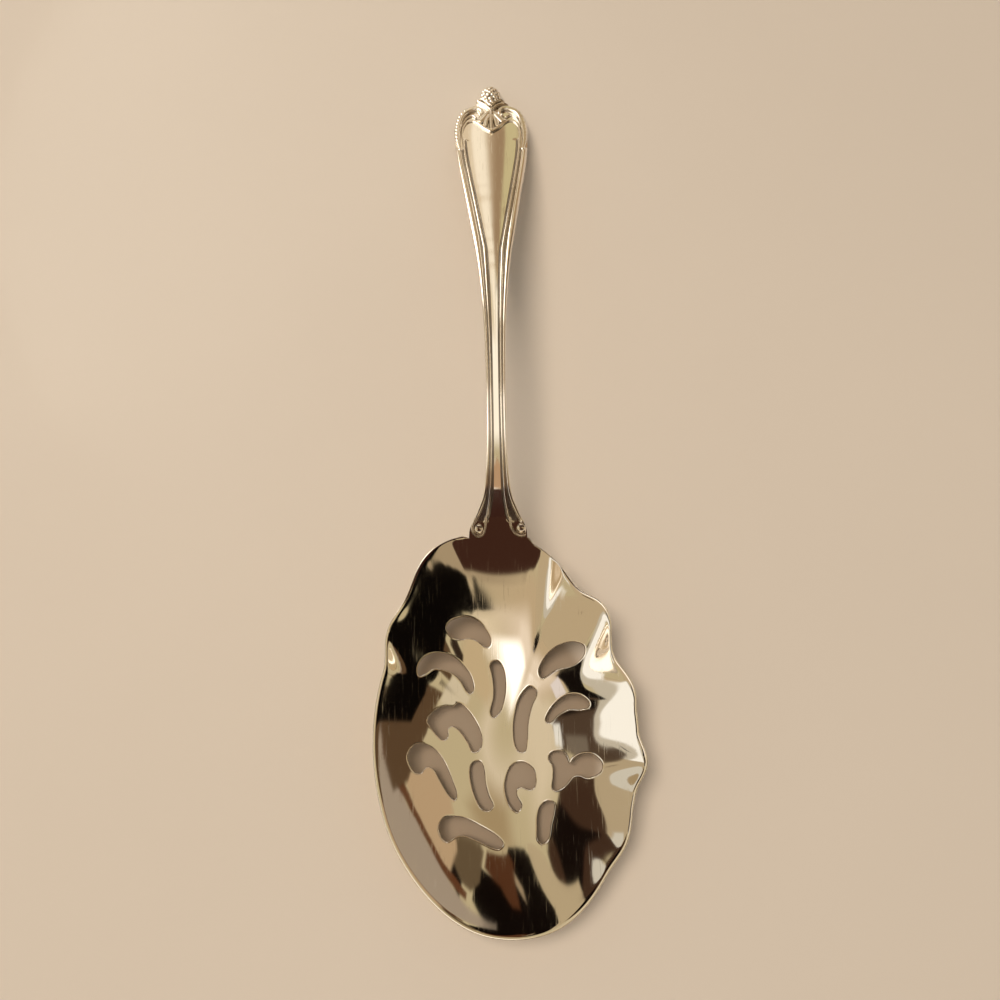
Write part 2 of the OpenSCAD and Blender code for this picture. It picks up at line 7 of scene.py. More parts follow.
import logging
import math
from dataclasses import dataclass, field
from enum import Enum, IntEnum
from typing import Any

import bpy
import numpy as np
from mathutils import Matrix, Vector, geometry


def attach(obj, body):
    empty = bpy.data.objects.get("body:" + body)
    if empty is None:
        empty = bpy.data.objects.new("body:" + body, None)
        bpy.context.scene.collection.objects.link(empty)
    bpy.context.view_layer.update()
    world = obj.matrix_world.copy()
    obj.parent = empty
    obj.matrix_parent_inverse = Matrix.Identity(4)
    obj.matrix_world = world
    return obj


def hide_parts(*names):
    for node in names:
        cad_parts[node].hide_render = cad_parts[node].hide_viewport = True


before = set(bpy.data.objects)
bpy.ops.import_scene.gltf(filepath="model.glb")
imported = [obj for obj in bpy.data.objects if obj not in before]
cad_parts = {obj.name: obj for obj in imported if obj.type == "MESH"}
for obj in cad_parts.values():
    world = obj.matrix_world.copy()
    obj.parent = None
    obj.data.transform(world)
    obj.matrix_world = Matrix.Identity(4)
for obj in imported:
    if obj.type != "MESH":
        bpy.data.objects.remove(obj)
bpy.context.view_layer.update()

MM = 0.001
# Height of a triangle whose three sides are 1
TRIANGLE_H = math.sqrt(0.75)
BODY = "root"
log = logging.getLogger("spoon")

Array = np.ndarray
Rows = tuple[tuple[float, ...], ...]
Object = bpy.types.Object
Material = bpy.types.Material
Tree = bpy.types.NodeTree
Socket = bpy.types.NodeSocket


class Slot(Enum):
    """The material slots of the record."""

    BOWL = "bowl_plate"
    HANDLE = "handle_plate"
    ORNAMENT = "ornament_plate"


class Side(IntEnum):
    """The two sides of the spoon, as the sign of x."""

    LEFT = -1
    RIGHT = 1


def ease(t: Array) -> Array:
    """Smooth step from 0 to 1, 3t^2 - 2t^3, flat outside."""
    c = np.clip(t, 0.0, 1.0)
    return c * c * (3.0 - 2.0 * c)


def mix(a: Array, b: Array, t: Array) -> Array:
    """Straight blend from a to b."""
    return a + (b - a) * t


def soft_min(a: Array, b: Array, width: float) -> Array:
    """Lower of two heights, rounded over a width: the mean less half the root of gap^2 + width^2."""
    return (a + b - np.sqrt((a - b) ** 2 + width * width)) / 2.0


def quarter_round(depth: Array, radius: float) -> Array:
    """Fall of a rounded corner at a depth from its edge: r - root(r^2 - (r - depth)^2)."""
    left = np.clip(radius - depth, 0.0, radius)
    return radius - np.sqrt(radius * radius - left * left)


def between(a: Array, b: Array, c: Array, d: Array, steps: int) -> Array:
    """Points on a smooth cubic from b to c, whose slopes follow the lines from a to c and from b to d.

    Args:
        a: Points before the start, one row each.
        b: Start points.
        c: End points.
        d: Points after the end.
        steps: Points to each stretch, the end left out.

    Returns:
        All points in order, one row each.
    """
    t = (np.arange(steps) / steps)[None, :, None]
    a, b, c, d = (p[:, None, :] for p in (a, b, c, d))
    cubic = 2 * b + (c - a) * t + (2 * a - 5 * b + 4 * c - d) * t**2 + (3 * b - a - 3 * c + d) * t**3
    return (cubic / 2.0).reshape(-1, b.shape[-1])


def closed_curve(points: Array, steps: int) -> Array:
    """Smooth closed curve through the points."""
    return between(np.roll(points, 1, 0), points, np.roll(points, -1, 0), np.roll(points, -2, 0), steps)


def open_curve(points: Array, steps: int) -> Array:
    """Smooth open curve through the points, both ends kept."""
    p = np.vstack([points[:1], points, points[-1:]])
    return np.vstack([between(p[:-3], p[1:-2], p[2:-1], p[3:], steps), points[-1:]])


def even_steps(curve: Array, spacing: float) -> Array:
    """A closed curve resampled at about even steps of its own length.

    Args:
        curve: Points in order, one row each.
        spacing: Length of a step.

    Returns:
        The new points, one row each.
    """
    loop = np.vstack([curve, curve[:1]])
    run = np.concatenate([[0.0], np.cumsum(np.linalg.norm(np.diff(loop, axis=0), axis=1))])
    at = np.linspace(0.0, run[-1], int(round(run[-1] / spacing)), endpoint=False)
    return np.column_stack([np.interp(at, run, loop[:, k]) for k in range(2)])


def grid_faces(rows: int, columns: int, wrap: bool = False) -> Array:
    """Corner numbers of the quads of a grid stored row by row.

    Args:
        rows: Points down the grid.
        columns: Points across the grid.
        wrap: Whether each row closes on itself.

    Returns:
        One row of four corners to each quad.
    """
    last = columns if wrap else columns - 1
    down, across = np.meshgrid(np.arange(rows - 1), np.arange(last), indexing="ij")
    down, across = down.ravel(), across.ravel()
    beside = (across + 1) % columns
    return np.column_stack([
        down * columns + across,
        down * columns + beside,
        (down + 1) * columns + beside,
        (down + 1) * columns + across,
    ])


def fan_faces(hub: int, ring: Array) -> Array:
    """Triangles from a hub to a closed ring, in the ring's order."""
    return np.column_stack([np.full(len(ring), hub), ring, np.roll(ring, -1)])


@dataclass(frozen=True)
class SmoothTable:
    """A smooth curve through a table of places and values."""

    rows: Rows

    def at(self, place: Array) -> Array:
        """Value at each place, by a cubic with the slopes of the neighbouring rows.

        Args:
            place: Where the values are wanted.

        Returns:
            The values.
        """
        x, v = np.array(self.rows).T
        ahead = np.minimum(np.arange(len(x)) + 1, len(x) - 1)
        behind = np.maximum(np.arange(len(x)) - 1, 0)
        slope = (v[ahead] - v[behind]) / (x[ahead] - x[behind])
        c = np.clip(place, x[0], x[-1])
        i = np.clip(np.searchsorted(x, c, side="right") - 1, 0, len(x) - 2)
        span = x[i + 1] - x[i]
        t = (c - x[i]) / span
        return (
            v[i] * (2 * t**3 - 3 * t**2 + 1)
            + slope[i] * span * (t**3 - 2 * t**2 + t)
            + v[i + 1] * (3 * t**2 - 2 * t**3)
            + slope[i + 1] * span * (t**3 - t**2)
        )


@dataclass
class Shell:
    """Points and faces of one piece as they are gathered, in millimetres."""

    points: list[Array] = field(default_factory=list)
    quads: list[Array] = field(default_factory=list)
    triangles: list[Array] = field(default_factory=list)
    marks: dict[str, list[Array]] = field(default_factory=lambda: {"recess": [], "cut": []})
    count: int = 0
    # Edges that turn by more than this stay sharp
    crease: float = math.radians(50)

    def add(self, points: Array, recess: Array | float = 0.0, cut: Array | float = 0.0) -> int:
        """Adds points and returns the number of the first.

        Args:
            points: One row of x, y and z to each.
            recess: How deep in a hollow each lies, 0 to 1, where polish leaves tarnish.
            cut: How far each lies on a pierced edge, 0 to 1.

        Returns:
            Number of the first of them.
        """
        start = self.count
        self.points.append(points)
        for name, value in (("recess", recess), ("cut", cut)):
            self.marks[name].append(np.broadcast_to(np.asarray(value, float), (len(points),)))
        self.count += len(points)
        return start

    def tube(self, rings: Array, recess: Array | float = 0.0, clockwise: bool = False) -> None:
        """Adds a closed sweep, with a fan over either end.

        Args:
            rings: Points of the closed section, station by station.
            recess: How deep in a hollow each lies, as add takes it.
            clockwise: Whether the section runs clockwise seen along the sweep.
        """
        rows, columns = rings.shape[:2]
        first = self.add(rings.reshape(-1, 3), recess)
        sides = grid_faces(rows, columns, wrap=True) + first
        start = np.arange(columns) + first
        end = start + (rows - 1) * columns
        front, rear = (self.add(ring.mean(0)[None, :]) for ring in (rings[0], rings[-1]))
        self.quads.append(sides[:, ::-1] if clockwise else sides)
        self.triangles.append(fan_faces(front, start if clockwise else start[::-1]))
        self.triangles.append(fan_faces(rear, end[::-1] if clockwise else end))

    def piece(self, name: str, slot: Slot) -> Object:
        """Makes the smooth-shaded object that stands for the CAD node of the same name.

        Args:
            name: Name of the node.
            slot: Its material slot in the record. Not used.

        Returns:
            The object, at the origin.
        """
        corners = [a.ravel() for a in (*self.quads, *self.triangles)]
        sizes = [np.full(len(a), a.shape[1]) for a in (*self.quads, *self.triangles)]
        starts = np.concatenate([[0], np.cumsum(np.concatenate(sizes))[:-1]])
        mesh = bpy.data.meshes.new(name + "_mesh")
        mesh.vertices.add(self.count)
        mesh.vertices.foreach_set("co", (np.vstack(self.points) * MM).ravel())
        mesh.loops.add(sum(len(c) for c in corners))
        mesh.loops.foreach_set("vertex_index", np.concatenate(corners).astype(np.int32))
        mesh.polygons.add(len(starts))
        mesh.polygons.foreach_set("loop_start", starts.astype(np.int32))
        mesh.update(calc_edges=True)
        mesh.validate()
        mesh.polygons.foreach_set("use_smooth", np.ones(len(mesh.polygons), bool))
        mesh.set_sharp_from_angle(angle=self.crease)
        for mark, values in self.marks.items():
            layer = mesh.attributes.new(mark, "FLOAT", "POINT")
            layer.data.foreach_set("value", np.concatenate(values))
        piece = bpy.data.objects.new(name + "_dressed", mesh)
        bpy.context.scene.collection.objects.link(piece)
        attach(piece, BODY)
        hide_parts(name)
        return piece


class Piece:
    """A sub-assembly that builds its own mesh and takes its own finish."""

    def build(self) -> Object:
        """Makes the object of the piece."""
        raise NotImplementedError

    def dress(self, finish: Material) -> None:
        """Builds the piece, gives it its finish and reports it.

        Args:
            finish: Material of the whole piece.
        """
        piece = self.build()
        piece.data.materials.append(finish)
        log.info("%s: %d faces, %s", piece.name, len(piece.data.polygons), finish.name)


@dataclass
class BowlForm:
    """The surfaces of the bowl as functions of the place seen from above."""

    half_w: float = 30.79
    front: float = 43.17
    back: float = 40.8
    shift: float = 1.0
    rim_height: float = 15.0
    rim_slope: float = 0.09
    rim_curve: float = 0.0006
    sheet_t: float = 1.5
    rim_w: float = 0.7
    butt_w: float = 1.3
    fullness: float = 2.3
    flute_start: float = 0.62
    rest_depth: float = 0.3
    neck_y: float = 46.4
    neck_half_w: float = 6.9
    neck_blend: float = 1.8
    neck_turn: float = math.radians(45)
    # The wall takes up the straight edge over a wider stretch, and lets go of it over this depth
    saddle_blend: float = 12.0
    saddle_depth: float = 16.0
    # Middle of a lobe and its half span as shares of a turn, and its reach as a share of half_w
    lobe_shares: Rows = (
        (-0.053, 0.082, 0.266),
        (0.017, 0.078, 0.179),
        (-0.126, 0.047, 0.099),
        (0.106, 0.042, 0.081),
        (0.151, 0.039, -0.052),
        (0.198, 0.026, 0.018),
        (0.279, 0.04, 0.063),
        (0.362, 0.042, 0.034),
        (0.45, 0.067, 0.028),
        (-0.417, 0.086, -0.016),
    )
    # The first lobes are the shoulders beside the neck, which aren't scallops
    shoulder_rows: int = 2

    def polar(self, x: Array, y: Array) -> tuple[Array, Array]:
        """Turn clockwise from the neck and distance from the middle of the bowl."""
        return np.arctan2(x - self.shift, y), np.hypot(x - self.shift, y)

    def oval(self, turn: Array) -> Array:
        """Reach of the plain oval, two half ellipses."""
        along = np.where(np.cos(turn) > 0, self.back, self.front)
        return 1.0 / np.sqrt((np.sin(turn) / self.half_w) ** 2 + (np.cos(turn) / along) ** 2)

    def neck(self, turn: Array, blend: float) -> Array:
        """1 on the straight edge at the neck, 0 on the free rim.

        Args:
            turn: Turns from the neck.
            blend: Width over which one eases into the other.

        Returns:
            The share of the straight edge at each turn.
        """
        near = np.abs(turn) < self.neck_turn
        across = np.abs(self.shift + self.neck_y * np.tan(np.where(near, turn, 0.0)))
        return np.where(near, ease((self.neck_half_w + blend - across) / blend), 0.0)

    def lobes(self, turn: Array, rows: Rows) -> Array:
        """Sum of the bumps of some lobes, each (1 - t^2)^3 over its span.

        Args:
            turn: Turns from the neck.
            rows: Rows of the lobes.

        Returns:
            How far they reach past the oval at each turn.
        """
        total = np.zeros_like(turn)
        for middle, span, reach in rows:
            apart = np.abs((turn - middle * math.tau + 5 * math.pi) % math.tau - math.pi)
            t = np.minimum(1.0, apart / (span * math.tau))
            total = total + reach * self.half_w * (1 - t * t) ** 3
        return total

    def reach(self, turn: Array, blend: float) -> Array:
        """Reach of the rim: the oval with its lobes, and straight at the neck.

        Args:
            turn: Turns from the neck.
            blend: Width over which the straight edge ends.

        Returns:
            Distance from the middle at each turn.
        """
        free = self.oval(turn) + self.lobes(turn, self.lobe_shares)
        edge = self.neck(turn, blend)
        straight = self.neck_y / np.cos(np.where(edge > 0, turn, 0.0))
        return mix(free, straight, edge)

    def rim_z(self, y: Array) -> Array:
        """Height of the rim, which climbs towards the neck."""
        return self.rim_height + self.rim_slope * y + self.rim_curve * y * y

    def saddle(self, turn: Array, r: Array) -> Array:
        """1 at the straight edge, 0 away from it along the rim and down the wall."""
        depth = self.reach(turn, self.neck_blend) - r
        return self.neck(turn, self.saddle_blend) * ease(1.0 - depth / self.saddle_depth)

    def wall_share(self, x: Array, y: Array, beyond: Array) -> Array:
        """Share of the way out to an edge that lies beyond the rim.

        The shoulders widen the bowl all the way, the scallops fade into it as flutes.

        Args:
            x: Places across.
            y: Places along.
            beyond: How far past the rim the edge lies.

        Returns:
            The share at each place.
        """
        turn, r = self.polar(x, y)
        reach, plain = self.reach(turn, self.saddle_blend), self.oval(turn)
        flutes = self.lobes(turn, self.lobe_shares[self.shoulder_rows:])
        flutes = flutes * (1 - self.neck(turn, self.saddle_blend))
        fade = ease((r / reach - self.flute_start) / (1 - self.flute_start))
        return r / (plain + (reach - flutes - plain + beyond) * r / reach + flutes * fade)

    def inside(self, x: Array, y: Array) -> Array:
        """Height of the hollow side: the share of the way out to the power of the fullness."""
        share = self.wall_share(x, y, -self.rim_w * (1 - self.saddle(*self.polar(x, y))))
        return self.sheet_t + (self.rim_z(y) - self.sheet_t) * share**self.fullness

    def outside(self, x: Array, y: Array) -> Array:
        """Height of the underside, by the same rule from the table up."""
        share = self.wall_share(x, y, self.butt_w * self.saddle(*self.polar(x, y)))
        return self.rim_z(y) * share**self.fullness - self.rest_depth


@dataclass
class Bowl(Piece):
    """The pierced bowl: a scalloped sheet with thirteen openings whose edges are rounded over."""

    form: BowlForm
    spokes: int = 660
    # Distances in from the rim at which its rings lie
    rim_steps: tuple[float, ...] = (0, 0.03, 0.08, 0.15, 0.24, 0.36, 0.5, 0.68, 0.9, 1.15, 1.45, 1.8, 2.15)
    rim_round: float = 0.4
    rim_side: float = 0.3
    rim_soft: float = 0.3
    # Height over the rim at which the wall is cut off, before it is rounded
    rim_lift_share: float = 0.25
    hem_soft: float = 0.12
    lattice: float = 0.6
    # Distances out from an opening at which its rings lie, and each ring keeps every such point of it
    edge_steps: tuple[float, ...] = (0.08, 0.17, 0.3, 0.48)
    edge_skips: tuple[int, ...] = (1, 1, 1, 2)
    edge_spacing: float = 0.17
    edge_round: float = 0.3
    # How far the saw's mark spreads over a rounded edge: a rougher finish and painted shade
    edge_cut: float = 0.6
    curve_steps: int = 12
    # A ring keeps the points that are at least this share of its step from every opening
    ring_share: float = 0.93
    clear: float = 0.3
    # Distances to an opening are worked out up to here
    far: float = 2.0
    wall_rows: int = 3
    # Points closer than this are one
    join: float = 1e-7
    # Each opening is a closed outline of across and along shares of the bowl's half width
    pierce_shares: tuple[Rows, ...] = (
        ((-0.42, 0.87), (-0.395, 0.92), (-0.35, 0.945), (-0.29, 0.96), (-0.22, 0.95), (-0.155, 0.92),
         (-0.1, 0.85), (-0.075, 0.79), (-0.085, 0.74), (-0.12, 0.735), (-0.19, 0.785), (-0.245, 0.8),
         (-0.31, 0.79), (-0.385, 0.81)),
        ((-0.64, 0.57), (-0.6, 0.635), (-0.54, 0.67), (-0.47, 0.68), (-0.39, 0.665), (-0.31, 0.61),
         (-0.24, 0.52), (-0.215, 0.42), (-0.24, 0.375), (-0.275, 0.4), (-0.32, 0.475), (-0.4, 0.54),
         (-0.515, 0.56), (-0.59, 0.515), (-0.635, 0.5)),
        ((-0.575, 0.17), (-0.52, 0.24), (-0.45, 0.275), (-0.375, 0.275), (-0.34, 0.3), (-0.29, 0.275),
         (-0.22, 0.19), (-0.17, 0.09), (-0.155, 0), (-0.18, -0.06), (-0.23, -0.07), (-0.265, 0),
         (-0.325, 0.085), (-0.385, 0.125), (-0.42, 0.1), (-0.42, 0.045), (-0.45, 0.02), (-0.49, 0.04),
         (-0.54, 0.1)),
        ((-0.72, -0.12), (-0.7, -0.05), (-0.65, -0.01), (-0.59, -0.015), (-0.51, -0.06), (-0.445, -0.15),
         (-0.395, -0.265), (-0.355, -0.38), (-0.37, -0.43), (-0.42, -0.385), (-0.48, -0.285),
         (-0.53, -0.2), (-0.585, -0.185), (-0.625, -0.23), (-0.68, -0.21)),
        ((-0.485, -0.62), (-0.45, -0.56), (-0.39, -0.55), (-0.29, -0.565), (-0.17, -0.625),
         (-0.06, -0.69), (-0.005, -0.75), (-0.03, -0.79), (-0.09, -0.78), (-0.195, -0.73),
         (-0.3, -0.69), (-0.365, -0.7), (-0.42, -0.73), (-0.465, -0.695)),
        ((-0.08, 0.59), (-0.05, 0.625), (-0.01, 0.62), (0.025, 0.56), (0.038, 0.47), (0.03, 0.36),
         (0, 0.25), (-0.055, 0.19), (-0.085, 0.23), (-0.06, 0.33), (-0.055, 0.42), (-0.065, 0.51)),
        ((0.225, 0.425), (0.275, 0.4), (0.28, 0.355), (0.24, 0.26), (0.21, 0.14), (0.2, 0),
         (0.18, -0.075), (0.13, -0.07), (0.1, 0), (0.095, 0.12), (0.115, 0.24), (0.155, 0.35)),
        ((-0.245, -0.18), (-0.21, -0.145), (-0.165, -0.15), (-0.14, -0.22), (-0.13, -0.32),
         (-0.105, -0.41), (-0.075, -0.48), (-0.11, -0.515), (-0.16, -0.5), (-0.2, -0.44),
         (-0.235, -0.34), (-0.25, -0.25)),
        ((0.02, -0.31), (0.055, -0.205), (0.11, -0.16), (0.18, -0.16), (0.24, -0.205), (0.26, -0.28),
         (0.245, -0.35), (0.205, -0.365), (0.15, -0.345), (0.11, -0.365), (0.115, -0.42),
         (0.145, -0.48), (0.11, -0.53), (0.055, -0.48), (0.025, -0.4)),
        ((0.305, 0.545), (0.35, 0.635), (0.415, 0.695), (0.5, 0.735), (0.58, 0.74), (0.65, 0.71),
         (0.655, 0.645), (0.61, 0.59), (0.55, 0.56), (0.44, 0.54), (0.37, 0.5), (0.325, 0.485)),
        ((0.35, 0.165), (0.39, 0.245), (0.46, 0.315), (0.54, 0.35), (0.62, 0.34), (0.68, 0.29),
         (0.68, 0.245), (0.62, 0.23), (0.535, 0.235), (0.455, 0.2), (0.385, 0.14)),
        ((0.365, -0.13), (0.395, -0.085), (0.465, -0.08), (0.5, -0.115), (0.525, -0.175),
         (0.56, -0.135), (0.625, -0.105), (0.7, -0.11), (0.765, -0.18), (0.745, -0.25), (0.66, -0.285),
         (0.595, -0.265), (0.545, -0.275), (0.48, -0.345), (0.415, -0.375), (0.385, -0.35),
         (0.395, -0.27), (0.395, -0.19)),
        ((0.26, -0.64), (0.265, -0.56), (0.29, -0.49), (0.345, -0.45), (0.395, -0.47), (0.39, -0.54),
         (0.365, -0.63), (0.345, -0.72), (0.295, -0.76), (0.26, -0.72)),
    )

    def outlines(self) -> list[Array]:
        """The openings as evenly stepped loops.

        Returns:
            Their points, which run anticlockwise seen from above.
        """
        loops = []
        for shares in self.pierce_shares:
            curve = closed_curve(np.array(shares) * self.form.half_w, self.curve_steps)
            loop = even_steps(curve, self.edge_spacing)
            after = np.roll(loop, -1, 0)
            area = np.sum(loop[:, 0] * after[:, 1] - after[:, 0] * loop[:, 1])
            loops.append(loop if area > 0 else loop[::-1])
        return loops

    @staticmethod
    def encloses(loop: Array, points: Array) -> Array:
        """Whether a loop goes round each point, by how often a line from it crosses the loop.

        Args:
            loop: Points of the closed loop.
            points: Points to try.

        Returns:
            True for each point inside.
        """
        after = np.roll(loop, -1, 0)
        x, y = points[:, :1], points[:, 1:]
        spans = (loop[:, 1] > y) != (after[:, 1] > y)
        rise = np.where(after[:, 1] == loop[:, 1], 1.0, after[:, 1] - loop[:, 1])
        cross = loop[:, 0] + (y - loop[:, 1]) * (after[:, 0] - loop[:, 0]) / rise
        return (np.sum(spans & (x < cross), axis=1) % 2).astype(bool)

    @staticmethod
    def distance(loop: Array, points: Array) -> Array:
        """Distance from each point to the nearest stretch of a loop.

        Args:
            loop: Points of the closed loop.
            points: Points to measure from.

        Returns:
            The distances.
        """
        along = np.roll(loop, -1, 0) - loop
        away = points[:, None, :] - loop
        t = np.clip(np.sum(away * along, -1) / np.sum(along * along, -1), 0.0, 1.0)
        return np.linalg.norm(away - t[..., None] * along, axis=-1).min(axis=1)

    def nearest(self, loops: list[Array], points: Array) -> Array:
        """Distance to the nearest opening, less than 0 inside one.

        Args:
            loops: The openings.
            points: Points to measure from.

        Returns:
            The distances, no more than far.
        """
        out = np.full(len(points), self.far)
        for loop in loops:
            near = np.all((points > loop.min(0) - self.far) & (points < loop.max(0) + self.far), axis=1)
            found = self.distance(loop, points[near])
            found = np.where(self.encloses(loop, points[near]), -found, found)
            out[near] = np.minimum(out[near], found)
        return out

    def plan(self, loops: list[Array]) -> tuple[Array, Array, list[Array]]:
        """The bowl seen from above.

        Rings follow the rim and each opening, a lattice of even triangles fills the rest, and the whole
        is joined by the triangles whose circles hold no other point.

        Args:
            loops: The openings.

        Returns:
            Points, the triangles inside the innermost ring, and the numbers of each opening's points.
        """
        form = self.form
        turns = np.linspace(math.tau, 0.0, self.spokes, endpoint=False)
        reach = form.reach(np.angle(np.exp(1j * turns)), form.neck_blend)
        r = reach[None, :] - np.array(self.rim_steps)[:, None]
        rings = np.stack([form.shift + r * np.sin(turns), r * np.cos(turns)], -1).reshape(-1, 2)
        inner = len(rings) - self.spokes
        rows = int(2 * form.back / (self.lattice * TRIANGLE_H))
        down, across = np.meshgrid(np.arange(-rows, rows), np.arange(-rows, rows), indexing="ij")
        spread = np.column_stack([
            ((across + down % 2 / 2) * self.lattice).ravel(),
            (down * self.lattice * TRIANGLE_H).ravel(),
        ])
        turn, far = form.polar(*spread.T)
        spread = spread[form.reach(turn, form.neck_blend) - far > self.rim_steps[-1] + self.clear]
        spread = spread[self.nearest(loops, spread) > self.edge_steps[-1] + self.clear]
        near = []
        for loop in loops:
            way = np.roll(loop, -1, 0) - np.roll(loop, 1, 0)
            out = np.column_stack([way[:, 1], -way[:, 0]]) / np.linalg.norm(way, axis=1)[:, None]
            for step, skip in zip(self.edge_steps, self.edge_skips):
                ring = (loop + out * step)[::skip]
                near.append(ring[self.nearest(loops, ring) > step * self.ring_share])
        points = np.vstack([rings, *loops, *near, spread])
        starts = len(rings) + np.concatenate([[0], np.cumsum([len(loop) for loop in loops])])
        members = [np.arange(a, b) for a, b in zip(starts[:-1], starts[1:])]
        ties = [np.column_stack([m, np.roll(m, -1)]) for m in (np.arange(inner, len(rings)), *members)]
        places = [Vector(p) for p in points[inner:].tolist()]
        tied = (np.vstack(ties) - inner).tolist()
        found = geometry.delaunay_2d_cdt(places, tied, [], 0, self.join, False)
        triangles = np.array(found[2]) + inner
        middles = points[triangles].mean(axis=1)
        keep = np.ones(len(triangles), bool)
        for loop, wanted in ((np.arange(inner, len(rings)), True), *((m, False) for m in members)):
            held = np.all((triangles >= loop[0]) & (triangles <= loop[-1]), axis=1)
            keep[held] &= self.encloses(points[loop], middles[held]) == wanted
        return points, triangles[keep], members

    def heights(self, plan: Array, away: Array) -> tuple[Array, Array]:
        """Upper and lower surface over the plan.

        The wall runs into the rim by a rounded minimum, the rim and each opening fall away by a quarter
        round, and the underside is flat where it rests.

        Args:
            plan: Places seen from above.
            away: Their distances from the nearest opening.

        Returns:
            Heights of the upper and of the lower surface.
        """
        form = self.form
        x, y = plan.T
        turn, r = form.polar(x, y)
        free = 1.0 - form.neck(turn, form.neck_blend)
        depth = form.reach(turn, form.neck_blend) - r
        rim = form.rim_z(y)
        wall = form.inside(x, y)
        capped = soft_min(wall, rim + self.rim_soft * self.rim_lift_share, self.rim_soft)
        upper = mix(wall, capped - quarter_round(depth, self.rim_round), free)
        hem = rim - self.rim_round - self.rim_side
        under = form.outside(x, y)
        lower = mix(under, soft_min(under, hem, self.hem_soft), free)
        fall = quarter_round(away, self.edge_round)
        return upper - fall, np.maximum(lower + fall, 0.0)

    def build(self) -> Object:
        """Makes the bowl from its plan, its two surfaces, its rim and the walls of its openings.

        Returns:
            The object.
        """
        loops = self.outlines()
        plan, triangles, members = self.plan(loops)
        rim_points = len(self.rim_steps) * self.spokes
        away = self.nearest(loops, plan)
        away[:rim_points] = self.edge_round
        away[np.concatenate(members)] = 0.0
        upper, lower = self.heights(plan, away)
        shell = Shell()
        edge = np.where(away < self.join, 1.0, 0.0) * self.edge_cut
        top = shell.add(np.column_stack([plan, upper]), cut=edge)
        bottom = shell.add(np.column_stack([plan, lower]), cut=edge)
        band = grid_faces(len(self.rim_steps), self.spokes, wrap=True)
        corners = plan[triangles]
        one, two = corners[:, 1] - corners[:, 0], corners[:, 2] - corners[:, 0]
        level = one[:, 0] * two[:, 1] - one[:, 1] * two[:, 0] > 0
        triangles = np.where(level[:, None], triangles, triangles[:, ::-1])
        shell.quads += [band, band[:, ::-1] + bottom]
        shell.triangles += [triangles + top, triangles[:, ::-1] + bottom]
        for ring, outwards in ((np.arange(self.spokes), True), *((m, False) for m in members)):
            share = np.linspace(0.0, 1.0, self.wall_rows + 2)[1:-1, None]
            z = mix(upper[ring], lower[ring], share)
            rows = np.concatenate([
                np.broadcast_to(plan[ring], (self.wall_rows, len(ring), 2)), z[..., None]
            ], axis=-1).reshape(-1, 3)
            # The walls of the openings get the full mark, which gives them painted shade and a rougher
            # finish; the outer wall of the rim gets none
            first = shell.add(rows, cut=0.0 if outwards else 1.0)
            middle = first + np.arange(self.wall_rows * len(ring)).reshape(self.wall_rows, len(ring))
            numbers = np.vstack([ring + top, middle, ring + bottom])
            wall = numbers.ravel()[grid_faces(len(numbers), len(ring), wrap=True)]
            shell.quads.append(wall[:, ::-1] if outwards else wall)
        return shell.piece("bowl", Slot.BOWL)


